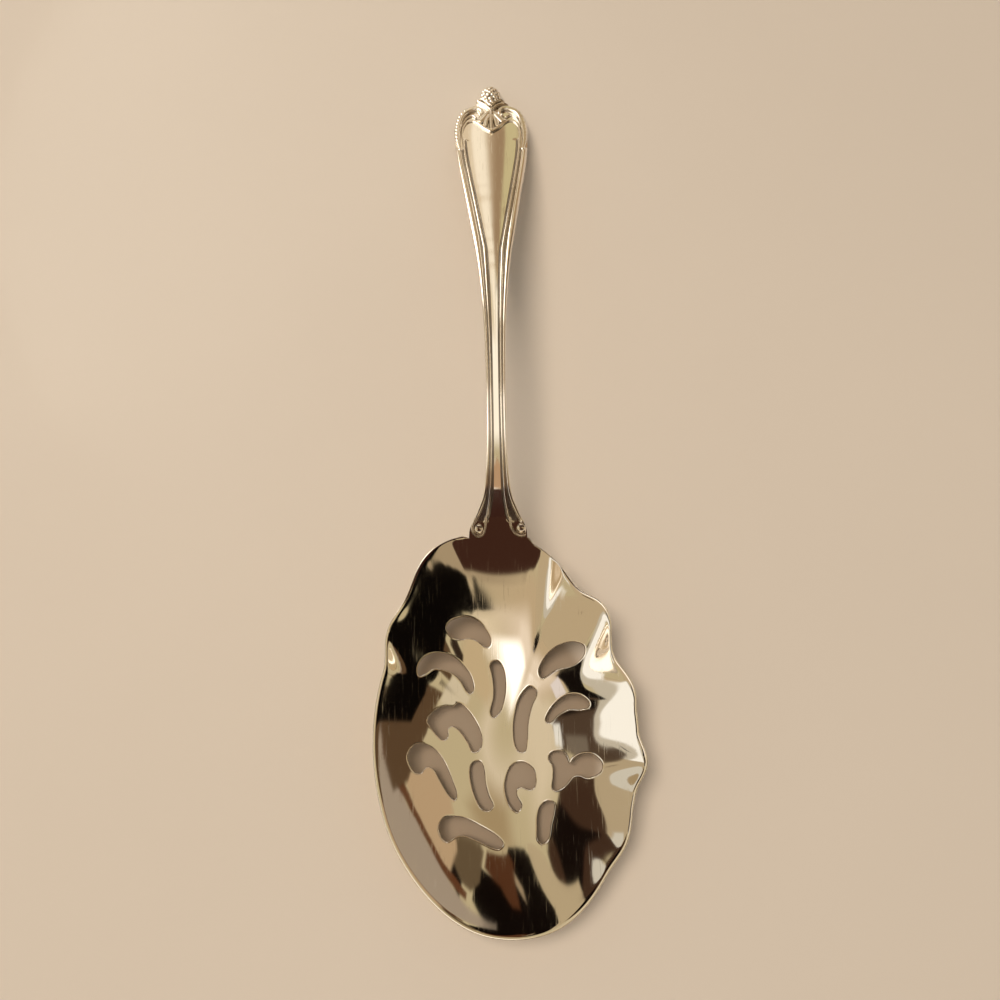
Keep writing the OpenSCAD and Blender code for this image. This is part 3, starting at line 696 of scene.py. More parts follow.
@dataclass
class HandleForm:
    """The bare surfaces of the handle, on which the threads rise and the ornament sits."""

    bowl: BowlForm
    length: float = 139.4
    tip_reach: float = 19.4
    half_width: float = 10.1
    rise: float = 31.4
    stem_t: float = 3.0
    panel_t: float = 2.0
    crown: float = 0.6
    crown_w: float = 2.3
    widest_share: float = 0.861
    root_share: float = 0.08
    under_lift: float = 0.25
    width_table: SmoothTable = SmoothTable((
        (0, 0.685), (0.012, 0.66), (0.035, 0.5), (0.06, 0.35), (0.09, 0.285), (0.14, 0.24), (0.2, 0.228),
        (0.28, 0.238), (0.36, 0.265), (0.44, 0.335), (0.51, 0.43), (0.58, 0.565), (0.65, 0.7),
        (0.72, 0.835), (0.79, 0.955), (0.848, 1), (0.888, 0.965), (0.924, 0.8), (0.949, 0.54),
        (0.963, 0.33), (0.982, 0.21), (1, 0.08),
    ))
    rise_shares: Rows = (
        (0.027, 0.775), (0.056, 0.86), (0.085, 0.905), (0.13, 0.95), (0.19, 0.985), (0.26, 1),
        (0.35, 0.982), (0.45, 0.924), (0.56, 0.81), (0.68, 0.634), (0.8, 0.415), (0.9, 0.222), (1, 0.066),
    )
    stem_table: SmoothTable = SmoothTable(((0, 0), (0.1, 1), (0.3, 1), (0.62, 0), (1, 0)))

    @property
    def neck_y(self) -> float:
        """Where the handle meets the bowl."""
        return self.bowl.neck_y

    @property
    def widest_y(self) -> float:
        """Where the handle is widest."""
        return self.neck_y + self.length - self.tip_reach

    @property
    def end_y(self) -> float:
        """End of the tab that carries the bud."""
        return self.neck_y + self.length

    def along(self, y: Array) -> Array:
        """Share of the way from the neck to the end, counted apart below and in the tip.

        Args:
            y: Places along the handle.

        Returns:
            The share at each place.
        """
        stem = self.widest_share * (y - self.neck_y) / (self.widest_y - self.neck_y)
        tip = self.widest_share + (1 - self.widest_share) * (y - self.widest_y) / self.tip_reach
        return np.where(y <= self.widest_y, stem, tip)

    def root(self, y: Array) -> Array:
        """1 at the neck, 0 from the narrow part of the stem on."""
        return 1.0 - ease(self.along(y) / self.root_share)

    def half_w(self, y: Array) -> Array:
        """Half the width seen from above."""
        return self.half_width * self.width_table.at(self.along(y))

    def bare(self, x: Array, y: Array) -> Array:
        """Height of the top without threads: a smooth arch that falls a little to either side.

        Args:
            x: Places across.
            y: Places along.

        Returns:
            The height at each place.
        """
        neck = (0.0, float(self.bowl.rim_z(self.neck_y)) / self.rise)
        arch = self.rise * SmoothTable((neck, *self.rise_shares)).at(self.along(y))
        wide = np.minimum(self.half_width, np.maximum(self.half_w(y), self.crown_w))
        return arch - self.crown * x**2 / (wide * self.half_width) * (1 - self.root(y))

    def under(self, x: Array, y: Array) -> Array:
        """Height of the underside, which lifts towards its edges.

        Args:
            x: Places across.
            y: Places along.

        Returns:
            The height at each place.
        """
        foot = self.bowl.outside(np.array(0.0), np.array(self.neck_y))
        neck_t = float(self.bowl.rim_z(self.neck_y) - foot)
        blank = mix(self.panel_t, self.stem_t, self.stem_table.at(self.along(y)))
        thick = mix(blank, neck_t, self.root(y))
        lift = self.under_lift * (1 - self.root(y)) * (x / self.half_w(y)) ** 2
        return self.bare(x, y) - thick * (1 - lift)


@dataclass
class Handle(Piece):
    """The handle blank: an arched strip with an outer and an inner thread round a plain panel."""

    form: HandleForm
    thread_h: float = 0.6
    inner_h: float = 0.42
    border_share: float = 0.58
    border_max: float = 2.7
    outer_share: float = 0.32
    outer_max: float = 1.7
    inner_share: float = 0.22
    inner_max: float = 0.75
    # Border, outer and inner thread at the neck, as shares of what they measure farther up
    root_widths: tuple[float, float, float] = (1.2, 0.45, 0.8)
    valley_depth: float = 0.1
    groove_depth: float = 0.22
    groove_w: float = 0.55
    groove_share: float = 0.16
    start: float = 3.3
    outer_end_share: float = 0.773
    inner_end_share: float = 0.359
    fade: float = 0.9
    thread_round: float = 0.75
    panel_spread: float = 0.8
    # Dirt on the inner flank of the outer thread, in the valley, and on either flank of the inner one
    dirt: tuple[float, float, float, float] = (0.5, 0.9, 0.6, 0.7)
    corner: float = 0.35
    # The flat of the underside starts at this share of its half width
    flat_share: float = 0.86
    # The foot meets the top at a steep angle and stays a sharp edge there
    crease: float = math.radians(36)
    step: float = 0.4
    # Points over outer thread, valley, inner thread, groove and panel, then rounded edge and flat
    counts: tuple[int, ...] = (12, 4, 9, 8, 12)
    under_counts: tuple[int, int] = (5, 8)

    def top_half(self, y: Array) -> tuple[Array, Array, Array]:
        """Half the section of the top from its edge to its middle.

        Each thread is a half wave sin(pi s)^0.75 over its own width, with a shallow valley between the
        two and a groove sin(pi s) beside the panel.

        Args:
            y: Stations, one column.

        Returns:
            Distance from the edge, height above the bare surface, and how recessed each point is.
        """
        form = self.form
        w, root = form.half_w(y), form.root(y)
        wide, outer_root, inner_root = self.root_widths
        border = np.minimum(self.border_share * w, self.border_max * mix(1.0, wide, root))
        outer = np.minimum(self.outer_share * w, self.outer_max) * mix(1.0, outer_root, root)
        inner = np.minimum(self.inner_share * w, self.inner_max) * mix(1.0, inner_root, root)
        groove = np.minimum(self.groove_share * w, self.groove_w)
        begin = ease((y - form.neck_y - self.start) / self.fade + 0.5)
        outer_end = form.widest_y - self.outer_end_share * form.half_width
        inner_end = form.widest_y - self.inner_end_share * form.half_width
        outer_on = begin * ease((outer_end - y) / self.fade + 1.0)
        inner_on = begin * ease((inner_end - y) / self.fade + 1.0)
        s = [np.linspace(0.0, 1.0, n)[None, :] for n in self.counts]
        places = [
            outer * s[0],
            mix(outer, border - inner, s[1][:, 1:]),
            border - inner + inner * s[2][:, 1:],
            border + groove * s[3][:, 1:],
            mix(border + groove, w, s[4][:, 1:] ** self.panel_spread),
        ]
        wave = [np.sin(math.pi * np.clip(t, 0.0, 1.0)) for t in s]
        lifts = [
            self.thread_h * wave[0] ** self.thread_round * outer_on
            - self.valley_depth * ease(s[0]) * outer_on,
            -self.valley_depth * np.ones_like(s[1][:, 1:]) * outer_on,
            self.inner_h * wave[2][:, 1:] ** self.thread_round * inner_on
            - self.valley_depth * (1 - ease(s[2][:, 1:])) * outer_on,
            -self.groove_depth * wave[3][:, 1:] * inner_on,
            0.0 * s[4][:, 1:] * y,
        ]
        flank, valley, before, after = self.dirt
        recess = [
            flank * ease(3 * s[0] - 2.2) * outer_on,
            valley * np.ones_like(s[1][:, 1:]) * outer_on,
            (before * (1 - ease(4 * s[2][:, 1:])) + after * ease(4 * s[2][:, 1:] - 3)) * inner_on,
            wave[3][:, 1:] ** 0.5 * inner_on,
            0.0 * s[4][:, 1:] * y,
        ]
        return tuple(
            np.hstack([np.broadcast_to(p, (len(y), p.shape[1])) for p in part])
            for part in (places, lifts, recess)
        )

    def build(self) -> Object:
        """Makes the blank: the top from two mirrored halves, rounded edges, the underside and two ends.

        Returns:
            The object.
        """
        form = self.form
        count = int(round(form.length / self.step)) + 1
        y = np.linspace(form.neck_y, form.end_y, count)[:, None]
        inwards, lift, recess = self.top_half(y)
        w = form.half_w(y)
        x = w - inwards
        left = np.stack([-x, form.bare(x, y) + lift], -1)
        right = np.stack([x, form.bare(x, y) + lift], -1)[:, -2::-1]
        turn = np.linspace(0.0, math.pi / 2, self.under_counts[0])[None, :]
        low_x = w - self.corner * (1 - np.cos(turn))
        low_z = form.under(low_x, y) + self.corner * (1 - np.sin(turn))
        flat_x = (w - self.corner) * np.linspace(self.flat_share, 0.0, self.under_counts[1])[None, :]
        side_x = np.hstack([low_x, flat_x])
        side_z = np.hstack([low_z, form.under(flat_x, y)])
        down = np.stack([side_x, side_z], -1)
        back = np.stack([-side_x, side_z], -1)[:, -2::-1]
        ring = np.concatenate([left, right, down, back], axis=1)
        bright = np.zeros((count, down.shape[1] + back.shape[1]))
        dull = np.concatenate([recess, recess[:, -2::-1], bright], axis=1)
        stations = np.broadcast_to(y[:, :, None], (*ring.shape[:2], 1))
        points = np.concatenate([ring[..., :1], stations, ring[..., 1:]], axis=-1)
        shell = Shell(crease=self.crease)
        shell.tube(points, dull.ravel(), clockwise=True)
        return shell.piece("handle", Slot.HANDLE)


@dataclass
class Heel(Piece):
    """The drop under the neck that backs the joint of bowl and handle."""

    form: HandleForm
    front: float = 11.0
    back: float = 7.0
    half_w: float = 4.6
    thick: float = 1.1
    edge_t: float = 0.15
    gap: float = 0.1
    swell_share: float = 0.25
    thin_share: float = 0.5
    end_share: float = 0.5
    counts: tuple[int, int] = (90, 33)
    width_table: SmoothTable = SmoothTable(
        ((0, 0.18), (0.06, 0.5), (0.18, 0.8), (0.4, 0.98), (0.61, 1), (0.8, 0.72), (1, 0.4))
    )

    def build(self) -> Object:
        """Makes the drop: a lens over the width, 1 - u^2 deep, that swells from its point.

        Returns:
            The object.
        """
        form = self.form
        share = np.linspace(0.0, 1.0, self.counts[0])[:, None]
        y = form.neck_y - self.front + share * (self.front + self.back)
        u = np.linspace(-1.0, 1.0, self.counts[1])[None, :]
        x = u * self.half_w * self.width_table.at(share)
        y_all = np.broadcast_to(y, x.shape)
        seat = np.where(y_all <= form.neck_y, form.bowl.outside(x, y_all), form.under(x, y_all)) - self.gap
        late = ease((share - self.thin_share) / (1 - self.thin_share))
        depth = self.thick * ease(share / self.swell_share) * mix(1.0, self.end_share, late)
        low = seat - self.edge_t - depth * (1 - u * u)
        upper, lower = (np.stack([x, y_all, z], -1) for z in (seat, low))
        shell = Shell()
        shell.tube(np.concatenate([upper, lower[:, ::-1]], axis=1), clockwise=True)
        return shell.piece("heel", Slot.BOWL)


@dataclass
class Relief(Piece):
    """Raised strands and beads laid on the bare surface of the handle."""

    form: HandleForm
    seat: float = 0.02
    width: float = 1.9
    steps: int = 26
    section: int = 19
    # A strand has its full height where its width times this reaches the greatest width
    full_height: float = 1.15
    # Half width of the middle groove and of the dirt in it as shares of the strand's, and dirt at the foot
    groove_w: float = 0.3
    groove_dull: float = 0.2
    foot_dull: float = 0.8
    # Beads grow over this share of a strand, lean out to one side, and swell its width and height
    bead_ease: float = 0.06
    bead_lean: float = 0.6
    bead_round: float = 0.6
    bead_swell: tuple[float, float] = (0.5, 0.35)
    # Points up and round a plain dome and one with berries, and the dirt at the foot of the plain one
    dome: tuple[int, int] = (14, 40)
    berry_dome: tuple[int, int] = (90, 210)
    dome_dull: float = 0.7
    # Shares of a berry's radius: room that the dome leaves, pitch of rows and of berries, and where dirt ends
    berry_out: float = 0.55
    berry_pitch: tuple[float, float] = (1.7, 1.9)
    berry_dull: float = 0.8
    berry_dull_round: float = 0.7

    def place(self, shares: Rows, side: Side, origin_y: float) -> Array:
        """Points given as shares of the handle's half width, mirrored by the side."""
        p = np.array(shares) * self.form.half_width
        return np.column_stack([side * p[:, 0], origin_y + p[:, 1]])

    def strand(
        self, shell: Shell, path: Array, half_widths: Array, height: float, groove: float = 0.0,
        bead_pitch: float = 0.0, bead_side: int = 0, bead_span: tuple[float, float] = (0.0, 1.0),
        bead_share: float = 1.0,
    ) -> None:
        """Lays a strand with a half-round section along a path.

        Across the strand its height is (1 - u^2)^0.5, less a groove along its middle. Beads swell it
        towards one side by |sin| of the way along.

        Args:
            shell: Piece that it is added to.
            path: Points seen from above.
            half_widths: Half width at each of those points.
            height: Height at full width.
            groove: Depth of the middle groove as a share of the height.
            bead_pitch: Length of one bead, 0 for none.
            bead_side: Side that swells, -1 or 1 for left or right of the way.
            bead_span: Shares of the length over which there are beads.
            bead_share: How strongly the beads stand out.
        """
        line = open_curve(path, self.steps)
        wide = open_curve(half_widths[:, None], self.steps)
        way = np.gradient(line, axis=0)
        way /= np.linalg.norm(way, axis=1)[:, None]
        side = np.column_stack([way[:, 1], -way[:, 0]])
        run = np.concatenate([[0.0], np.cumsum(np.linalg.norm(np.diff(line, axis=0), axis=1))])[:, None]
        share = run / run[-1]
        turn = np.linspace(0.0, math.pi, self.section)[None, :]
        u = -np.cos(turn)
        swell = np.zeros_like(share)
        if bead_pitch:
            on = ease((share - bead_span[0]) / self.bead_ease) * ease((bead_span[1] - share) / self.bead_ease)
            swell = bead_share * on * (np.abs(np.sin(math.pi * run / bead_pitch)) ** self.bead_round - 0.5)
        lean = ease(0.5 + self.bead_lean * u * bead_side)
        reach = wide * (1 + self.bead_swell[0] * swell * lean)
        full = np.minimum(1.0, wide / wide.max() * self.full_height)
        tall = height * full * (1 + self.bead_swell[1] * swell * lean)
        crest = np.sin(turn) * (1 - groove * np.exp(-((u / self.groove_w) ** 2)))
        plan = line[:, None, :] + side[:, None, :] * (u * reach)[..., None]
        x, y = plan[..., 0], plan[..., 1]
        base = self.form.bare(x, y) + self.seat
        top = np.stack([x, y, base + tall * crest], -1)
        flat = np.stack([x, y, base], -1)[:, -2:0:-3]
        dull = self.foot_dull * (1 - np.sin(turn)) ** 2 + groove * np.exp(-((u / self.groove_dull) ** 2))
        dull = np.concatenate([np.broadcast_to(dull, x.shape), np.ones(flat.shape[:2])], axis=1)
        shell.tube(np.concatenate([top, flat], axis=1), np.clip(dull, 0, 1).ravel())

    def bead(
        self, shell: Shell, middle: Array, across: float, length: float, height: float, berries: float = 0.0
    ) -> None:
        """Seats a low dome, with berries over it where their radius is given.

        The dome is the upper half of an ellipsoid. Each berry is a ball whose centre lies on it, and the
        surface at a point is pushed out to the highest ball there.

        Args:
            shell: Piece that it is added to.
            middle: Centre seen from above.
            across: Half width.
            length: Half length.
            height: Height.
            berries: Radius of a berry.
        """
        ranks, sides = self.berry_dome if berries else self.dome
        lean = np.linspace(0.0, math.pi / 2, ranks)[:, None]
        turn = np.linspace(0.0, math.tau, sides, endpoint=False)[None, :]
        up = np.broadcast_to(np.sin(lean), (ranks, sides))
        unit = np.stack([np.cos(lean) * np.cos(turn), np.cos(lean) * np.sin(turn), up], -1)
        size = np.array([across, length, height]) - berries * self.berry_out
        body = unit * size
        dull = self.dome_dull * (1 - np.sin(lean)) ** 3 * np.ones_like(turn)
        if berries:
            centres = self.berry_centres(size, berries)
            normal = unit / size
            normal /= np.linalg.norm(normal, axis=-1, keepdims=True)
            gap = body[..., None, :] - centres
            along = np.sum(gap * normal[..., None, :], -1)
            left = berries**2 - (np.sum(gap * gap, -1) - along**2)
            push = np.where(left > 0, np.sqrt(np.maximum(left, 0.0)) - along, 0.0).max(-1)
            push = np.maximum(push, 0.0)
            body = body + normal * push[..., None]
            dull = np.clip(1 - push / (berries * self.berry_dull), 0, 1) ** self.berry_dull_round
        body = body[:-1]
        base = self.form.bare(middle[0] + body[..., 0], middle[1] + body[..., 1]) + self.seat
        points = np.stack([
            middle[0] + body[..., 0], middle[1] + body[..., 1], base + np.maximum(body[..., 2], 0.0)
        ], -1)
        first = shell.add(points.reshape(-1, 3), recess=dull[:-1].ravel())
        shell.quads.append(grid_faces(ranks - 1, sides, wrap=True) + first)
        crown = self.form.bare(np.array(middle[0]), np.array(middle[1])) + self.seat
        peak = shell.add(np.array([[middle[0], middle[1], crown + points[-1, :, 2].max() - base[-1].max()]]))
        foot = shell.add(np.array([[middle[0], middle[1], crown]]))
        shell.triangles.append(fan_faces(peak, first + np.arange((ranks - 2) * sides, (ranks - 1) * sides)))
        shell.triangles.append(fan_faces(foot, first + np.arange(sides)[::-1]))

    def berry_centres(self, size: Array, radius: float) -> Array:
        """Centres of the berries in staggered rows round the ellipsoid, one at its top.

        Args:
            size: Half axes of the ellipsoid.
            radius: Radius of a berry.

        Returns:
            One row for each berry.
        """
        centres = [np.array([[0.0, 0.0, size[2]]])]
        rows = int(round(size[1] * math.pi / 2 / (radius * self.berry_pitch[0])))
        for row in range(rows):
            lean = math.pi / 2 * row / rows
            belt = math.cos(lean)
            round_it = math.pi * (size[0] + size[1]) * belt
            count = max(4, int(round(round_it / (radius * self.berry_pitch[1]))))
            turn = math.tau * (np.arange(count) + 0.5 * (row % 2)) / count
            unit = np.column_stack([belt * np.cos(turn), belt * np.sin(turn), np.full(count, math.sin(lean))])
            centres.append(unit * size)
        return np.vstack(centres)


@dataclass
class Scroll(Relief):
    """The C-scroll round one side of the panel, scalloped along its outer edge and curled at its end."""

    side: Side = Side.LEFT
    height: float = 1.1
    bead_pitch: float = 1.55
    bead_span: tuple[float, float] = (0.02, 0.74)
    groove: float = 0.12
    # Half width, half length and height of the beads at the curled end and at the foot
    end_bead: tuple[float, float, float] = (0.6, 0.6, 1.155)
    foot_bead: tuple[float, float, float] = (0.62, 0.72, 0.8)
    # How strongly the scallops stand out to the left and to the right
    bead_shares: tuple[float, float] = (1.0, 0.3)
    path_shares: Rows = (
        (0.87, -0.7), (0.92, -0.33), (0.925, 0.15), (0.86, 0.66), (0.73, 0.95), (0.53, 1.09), (0.38, 1.1),
        (0.265, 1.0), (0.25, 0.86), (0.31, 0.77),
    )
    taper_shares: tuple[float, ...] = (0.2, 0.36, 0.46, 0.5, 0.5, 0.48, 0.44, 0.4, 0.34, 0.2)
    tail_share: tuple[float, float] = (0.86, -0.76)

    def build(self) -> Object:
        """Makes the scroll, the small bead at its foot and the bead in which it curls up.

        Returns:
            The object.
        """
        path = self.place(self.path_shares, self.side, self.form.widest_y)
        shell = Shell()
        self.strand(
            shell, path, np.array(self.taper_shares) * self.width, self.height, groove=self.groove,
            bead_pitch=self.bead_pitch, bead_side=self.side, bead_span=self.bead_span,
            bead_share=self.bead_shares[self.side is Side.RIGHT],
        )
        self.bead(shell, path[-1], *self.end_bead)
        tail = self.place((self.tail_share,), self.side, self.form.widest_y)[0]
        self.bead(shell, tail, *self.foot_bead)
        return shell.piece("scroll_" + self.side.name.lower(), Slot.ORNAMENT)


@dataclass(frozen=True)
class Leaf:
    """One strand of the palmette: its path, its half widths as shares of the unit, height and vein."""

    path: Rows
    taper: tuple[float, ...]
    height: float
    vein: float = 0.0


@dataclass
class Palmette(Relief):
    """The palmette: five veined petals that spread from under the calyx, between arms and tendrils."""

    arm: Leaf = Leaf(
        ((0.765, -0.42), (0.8, -0.15), (0.805, 0.06), (0.77, 0.3), (0.67, 0.51), (0.51, 0.56), (0.35, 0.43),
         (0.19, 0.22), (0.0, 0.05)),
        (0.18, 0.19, 0.19, 0.2, 0.22, 0.25, 0.3, 0.36, 0.4), 0.62,
    )
    tendril: Leaf = Leaf(
        ((0.83, 0.28), (0.775, 0.52), (0.66, 0.73), (0.53, 0.8), (0.43, 0.7)),
        (0.06, 0.12, 0.16, 0.2, 0.22), 0.6,
    )
    curl_bead: tuple[float, float, float] = (0.5, 0.45, 0.66)
    petals: tuple[Leaf, ...] = (
        Leaf(((0.07, 0.95), (0.2, 0.71), (0.34, 0.47)), (0.3, 0.55, 0.52), 1.0, 0.12),
        Leaf(((0.06, 0.8), (0.14, 0.5), (0.17, 0.25)), (0.22, 0.42, 0.4), 1.15, 0.1),
    )
    spine: Leaf = Leaf(((0.0, 0.97), (0.0, 0.58), (0.0, 0.08)), (0.2, 0.32, 0.3), 1.35, 0.08)

    def lay(self, shell: Shell, leaf: Leaf, side: Side) -> Array:
        """Lays one leaf on one side.

        Args:
            shell: Piece that it is added to.
            leaf: The leaf.
            side: Side on which it lies.

        Returns:
            Its path.
        """
        path = self.place(leaf.path, side, self.form.widest_y)
        self.strand(shell, path, np.array(leaf.taper) * self.width, leaf.height, groove=leaf.vein)
        return path

    def build(self) -> Object:
        """Makes the pairs of arms, tendrils and petals, and the spine over them.

        Returns:
            The object.
        """
        shell = Shell()
        for side in Side:
            self.lay(shell, self.arm, side)
            end = self.lay(shell, self.tendril, side)[-1]
            self.bead(shell, end, *self.curl_bead)
            for petal in self.petals:
                self.lay(shell, petal, side)
        self.lay(shell, self.spine, Side.RIGHT)
        return shell.piece("palmette", Slot.ORNAMENT)


@dataclass
class Calyx(Relief):
    """The V of leaves under the bud, a doubled line with a knob at its left end."""

    lines: tuple[Leaf, ...] = (
        Leaf(((0.34, 1.4), (0.17, 1.235), (0.0, 1.04), (0.17, 1.2), (0.34, 1.3), (0.52, 1.28)),
             (0.3, 0.24, 0.26, 0.26, 0.3, 0.06), 0.95),
        Leaf(((0.27, 1.5), (0.13, 1.345), (0.0, 1.19), (0.13, 1.33), (0.27, 1.44), (0.4, 1.43)),
             (0.22, 0.18, 0.2, 0.2, 0.22, 0.06), 1.15),
    )
    knob_share: tuple[float, float] = (0.345, 1.42)
    knob_bead: tuple[float, float, float] = (0.78, 0.78, 1.25)

    def build(self) -> Object:
        """Makes the two lines, each down from the left and up to the right, and the knob.

        Returns:
            The object.
        """
        shell = Shell()
        for line in self.lines:
            path = self.place(line.path, Side.RIGHT, self.form.widest_y)
            path[:2, 0] *= -1
            self.strand(shell, path, np.array(line.taper) * self.width, line.height)
        knob = self.place((self.knob_share,), Side.LEFT, self.form.widest_y)[0]
        self.bead(shell, knob, *self.knob_bead)
        return shell.piece("calyx", Slot.ORNAMENT)


@dataclass
class Bud(Relief):
    """The berry bud at the tip."""

    half_w: float = 2.75
    half_len: float = 3.5
    height: float = 2.4
    berry_r: float = 0.78
    place_share: float = 1.643

    def build(self) -> Object:
        """Makes the bud as a dome of berries.

        Returns:
            The object.
        """
        shell = Shell()
        middle = np.array([0.0, self.form.widest_y + self.place_share * self.form.half_width])
        self.bead(shell, middle, self.half_w, self.half_len, self.height, berries=self.berry_r)
        return shell.piece("bud", Slot.ORNAMENT)


@dataclass
class Volute(Relief):
    """One volute of the neck: an eye and the strand that curls round under it."""

    side: Side = Side.LEFT
    foot: float = 0.12
    strand_h: float = 0.6
    eye_r: float = 1.15
    eye_h: float = 1.0
    eye_shares: tuple[float, float] = (0.452, 0.125)
    path_shares: Rows = (
        (0.287, 0.36), (0.297, 0.2), (0.347, 0.07), (0.452, 0.02), (0.558, 0.06), (0.598, 0.18),
        (0.53, 0.34),
    )
    taper_shares: tuple[float, ...] = (0.17, 0.15, 0.15, 0.17, 0.17, 0.18, 0.2)

    def build(self) -> Object:
        """Makes the strand and the eye.

        Returns:
            The object.
        """
        shell = Shell()
        foot_y = self.form.neck_y + self.foot
        path = self.place(self.path_shares, self.side, foot_y)
        self.strand(shell, path, np.array(self.taper_shares) * self.width, self.strand_h)
        eye = self.place((self.eye_shares,), self.side, foot_y)[0]
        self.bead(shell, eye, self.eye_r, self.eye_r, self.eye_h)
        return shell.piece("volute_" + self.side.name.lower(), Slot.ORNAMENT)


@dataclass
class OpenVolute(Volute):
    """The right volute of the neck, whose strand runs out under the eye and doesn't curl back."""

    side: Side = Side.RIGHT
    eye_shares: tuple[float, float] = (0.54, 0.13)
    path_shares: Rows = (
        (0.287, 0.36), (0.298, 0.21), (0.345, 0.12), (0.41, 0.06), (0.485, 0.03), (0.57, 0.02),
        (0.64, 0.045),
    )


def linear(colour: str) -> tuple[float, float, float, float]:
    """Turns an sRGB hex colour to the linear values that the shaders take.

    Args:
        colour: The colour, as #rrggbb.

    Returns:
        Red, green, blue and an alpha of 1.
    """
    parts = [int(colour[i:i + 2], 16) / 255 for i in (1, 3, 5)]
    r, g, b = (c / 12.92 if c <= 0.04045 else ((c + 0.055) / 1.055) ** 2.4 for c in parts)
    return r, g, b, 1.0


def add_node(tree: Tree, kind: str, inputs: dict[Any, Any] | None = None, **settings: Any) -> Any:
    """Adds a node with its settings and its inputs.

    Args:
        tree: Tree that it goes into.
        kind: Its type, without the words that all types begin with.
        inputs: A value or a socket to link for each input, by name or number.
        settings: Properties to set.

    Returns:
        The node.
    """
    node = tree.nodes.new("ShaderNode" + kind)
    for name, value in settings.items():
        setattr(node, name, value)
    for name, value in (inputs or {}).items():
        if isinstance(value, Socket):
            tree.links.new(value, node.inputs[name])
        else:
            node.inputs[name].default_value = value
    return node


def new_material(name: str) -> tuple[Material, Tree]:
    """Makes an empty node material.

    Args:
        name: Its name.

    Returns:
        The material and its tree.
    """
    material = bpy.data.materials.new(name)
    material.use_nodes = True
    material.node_tree.nodes.clear()
    return material, material.node_tree


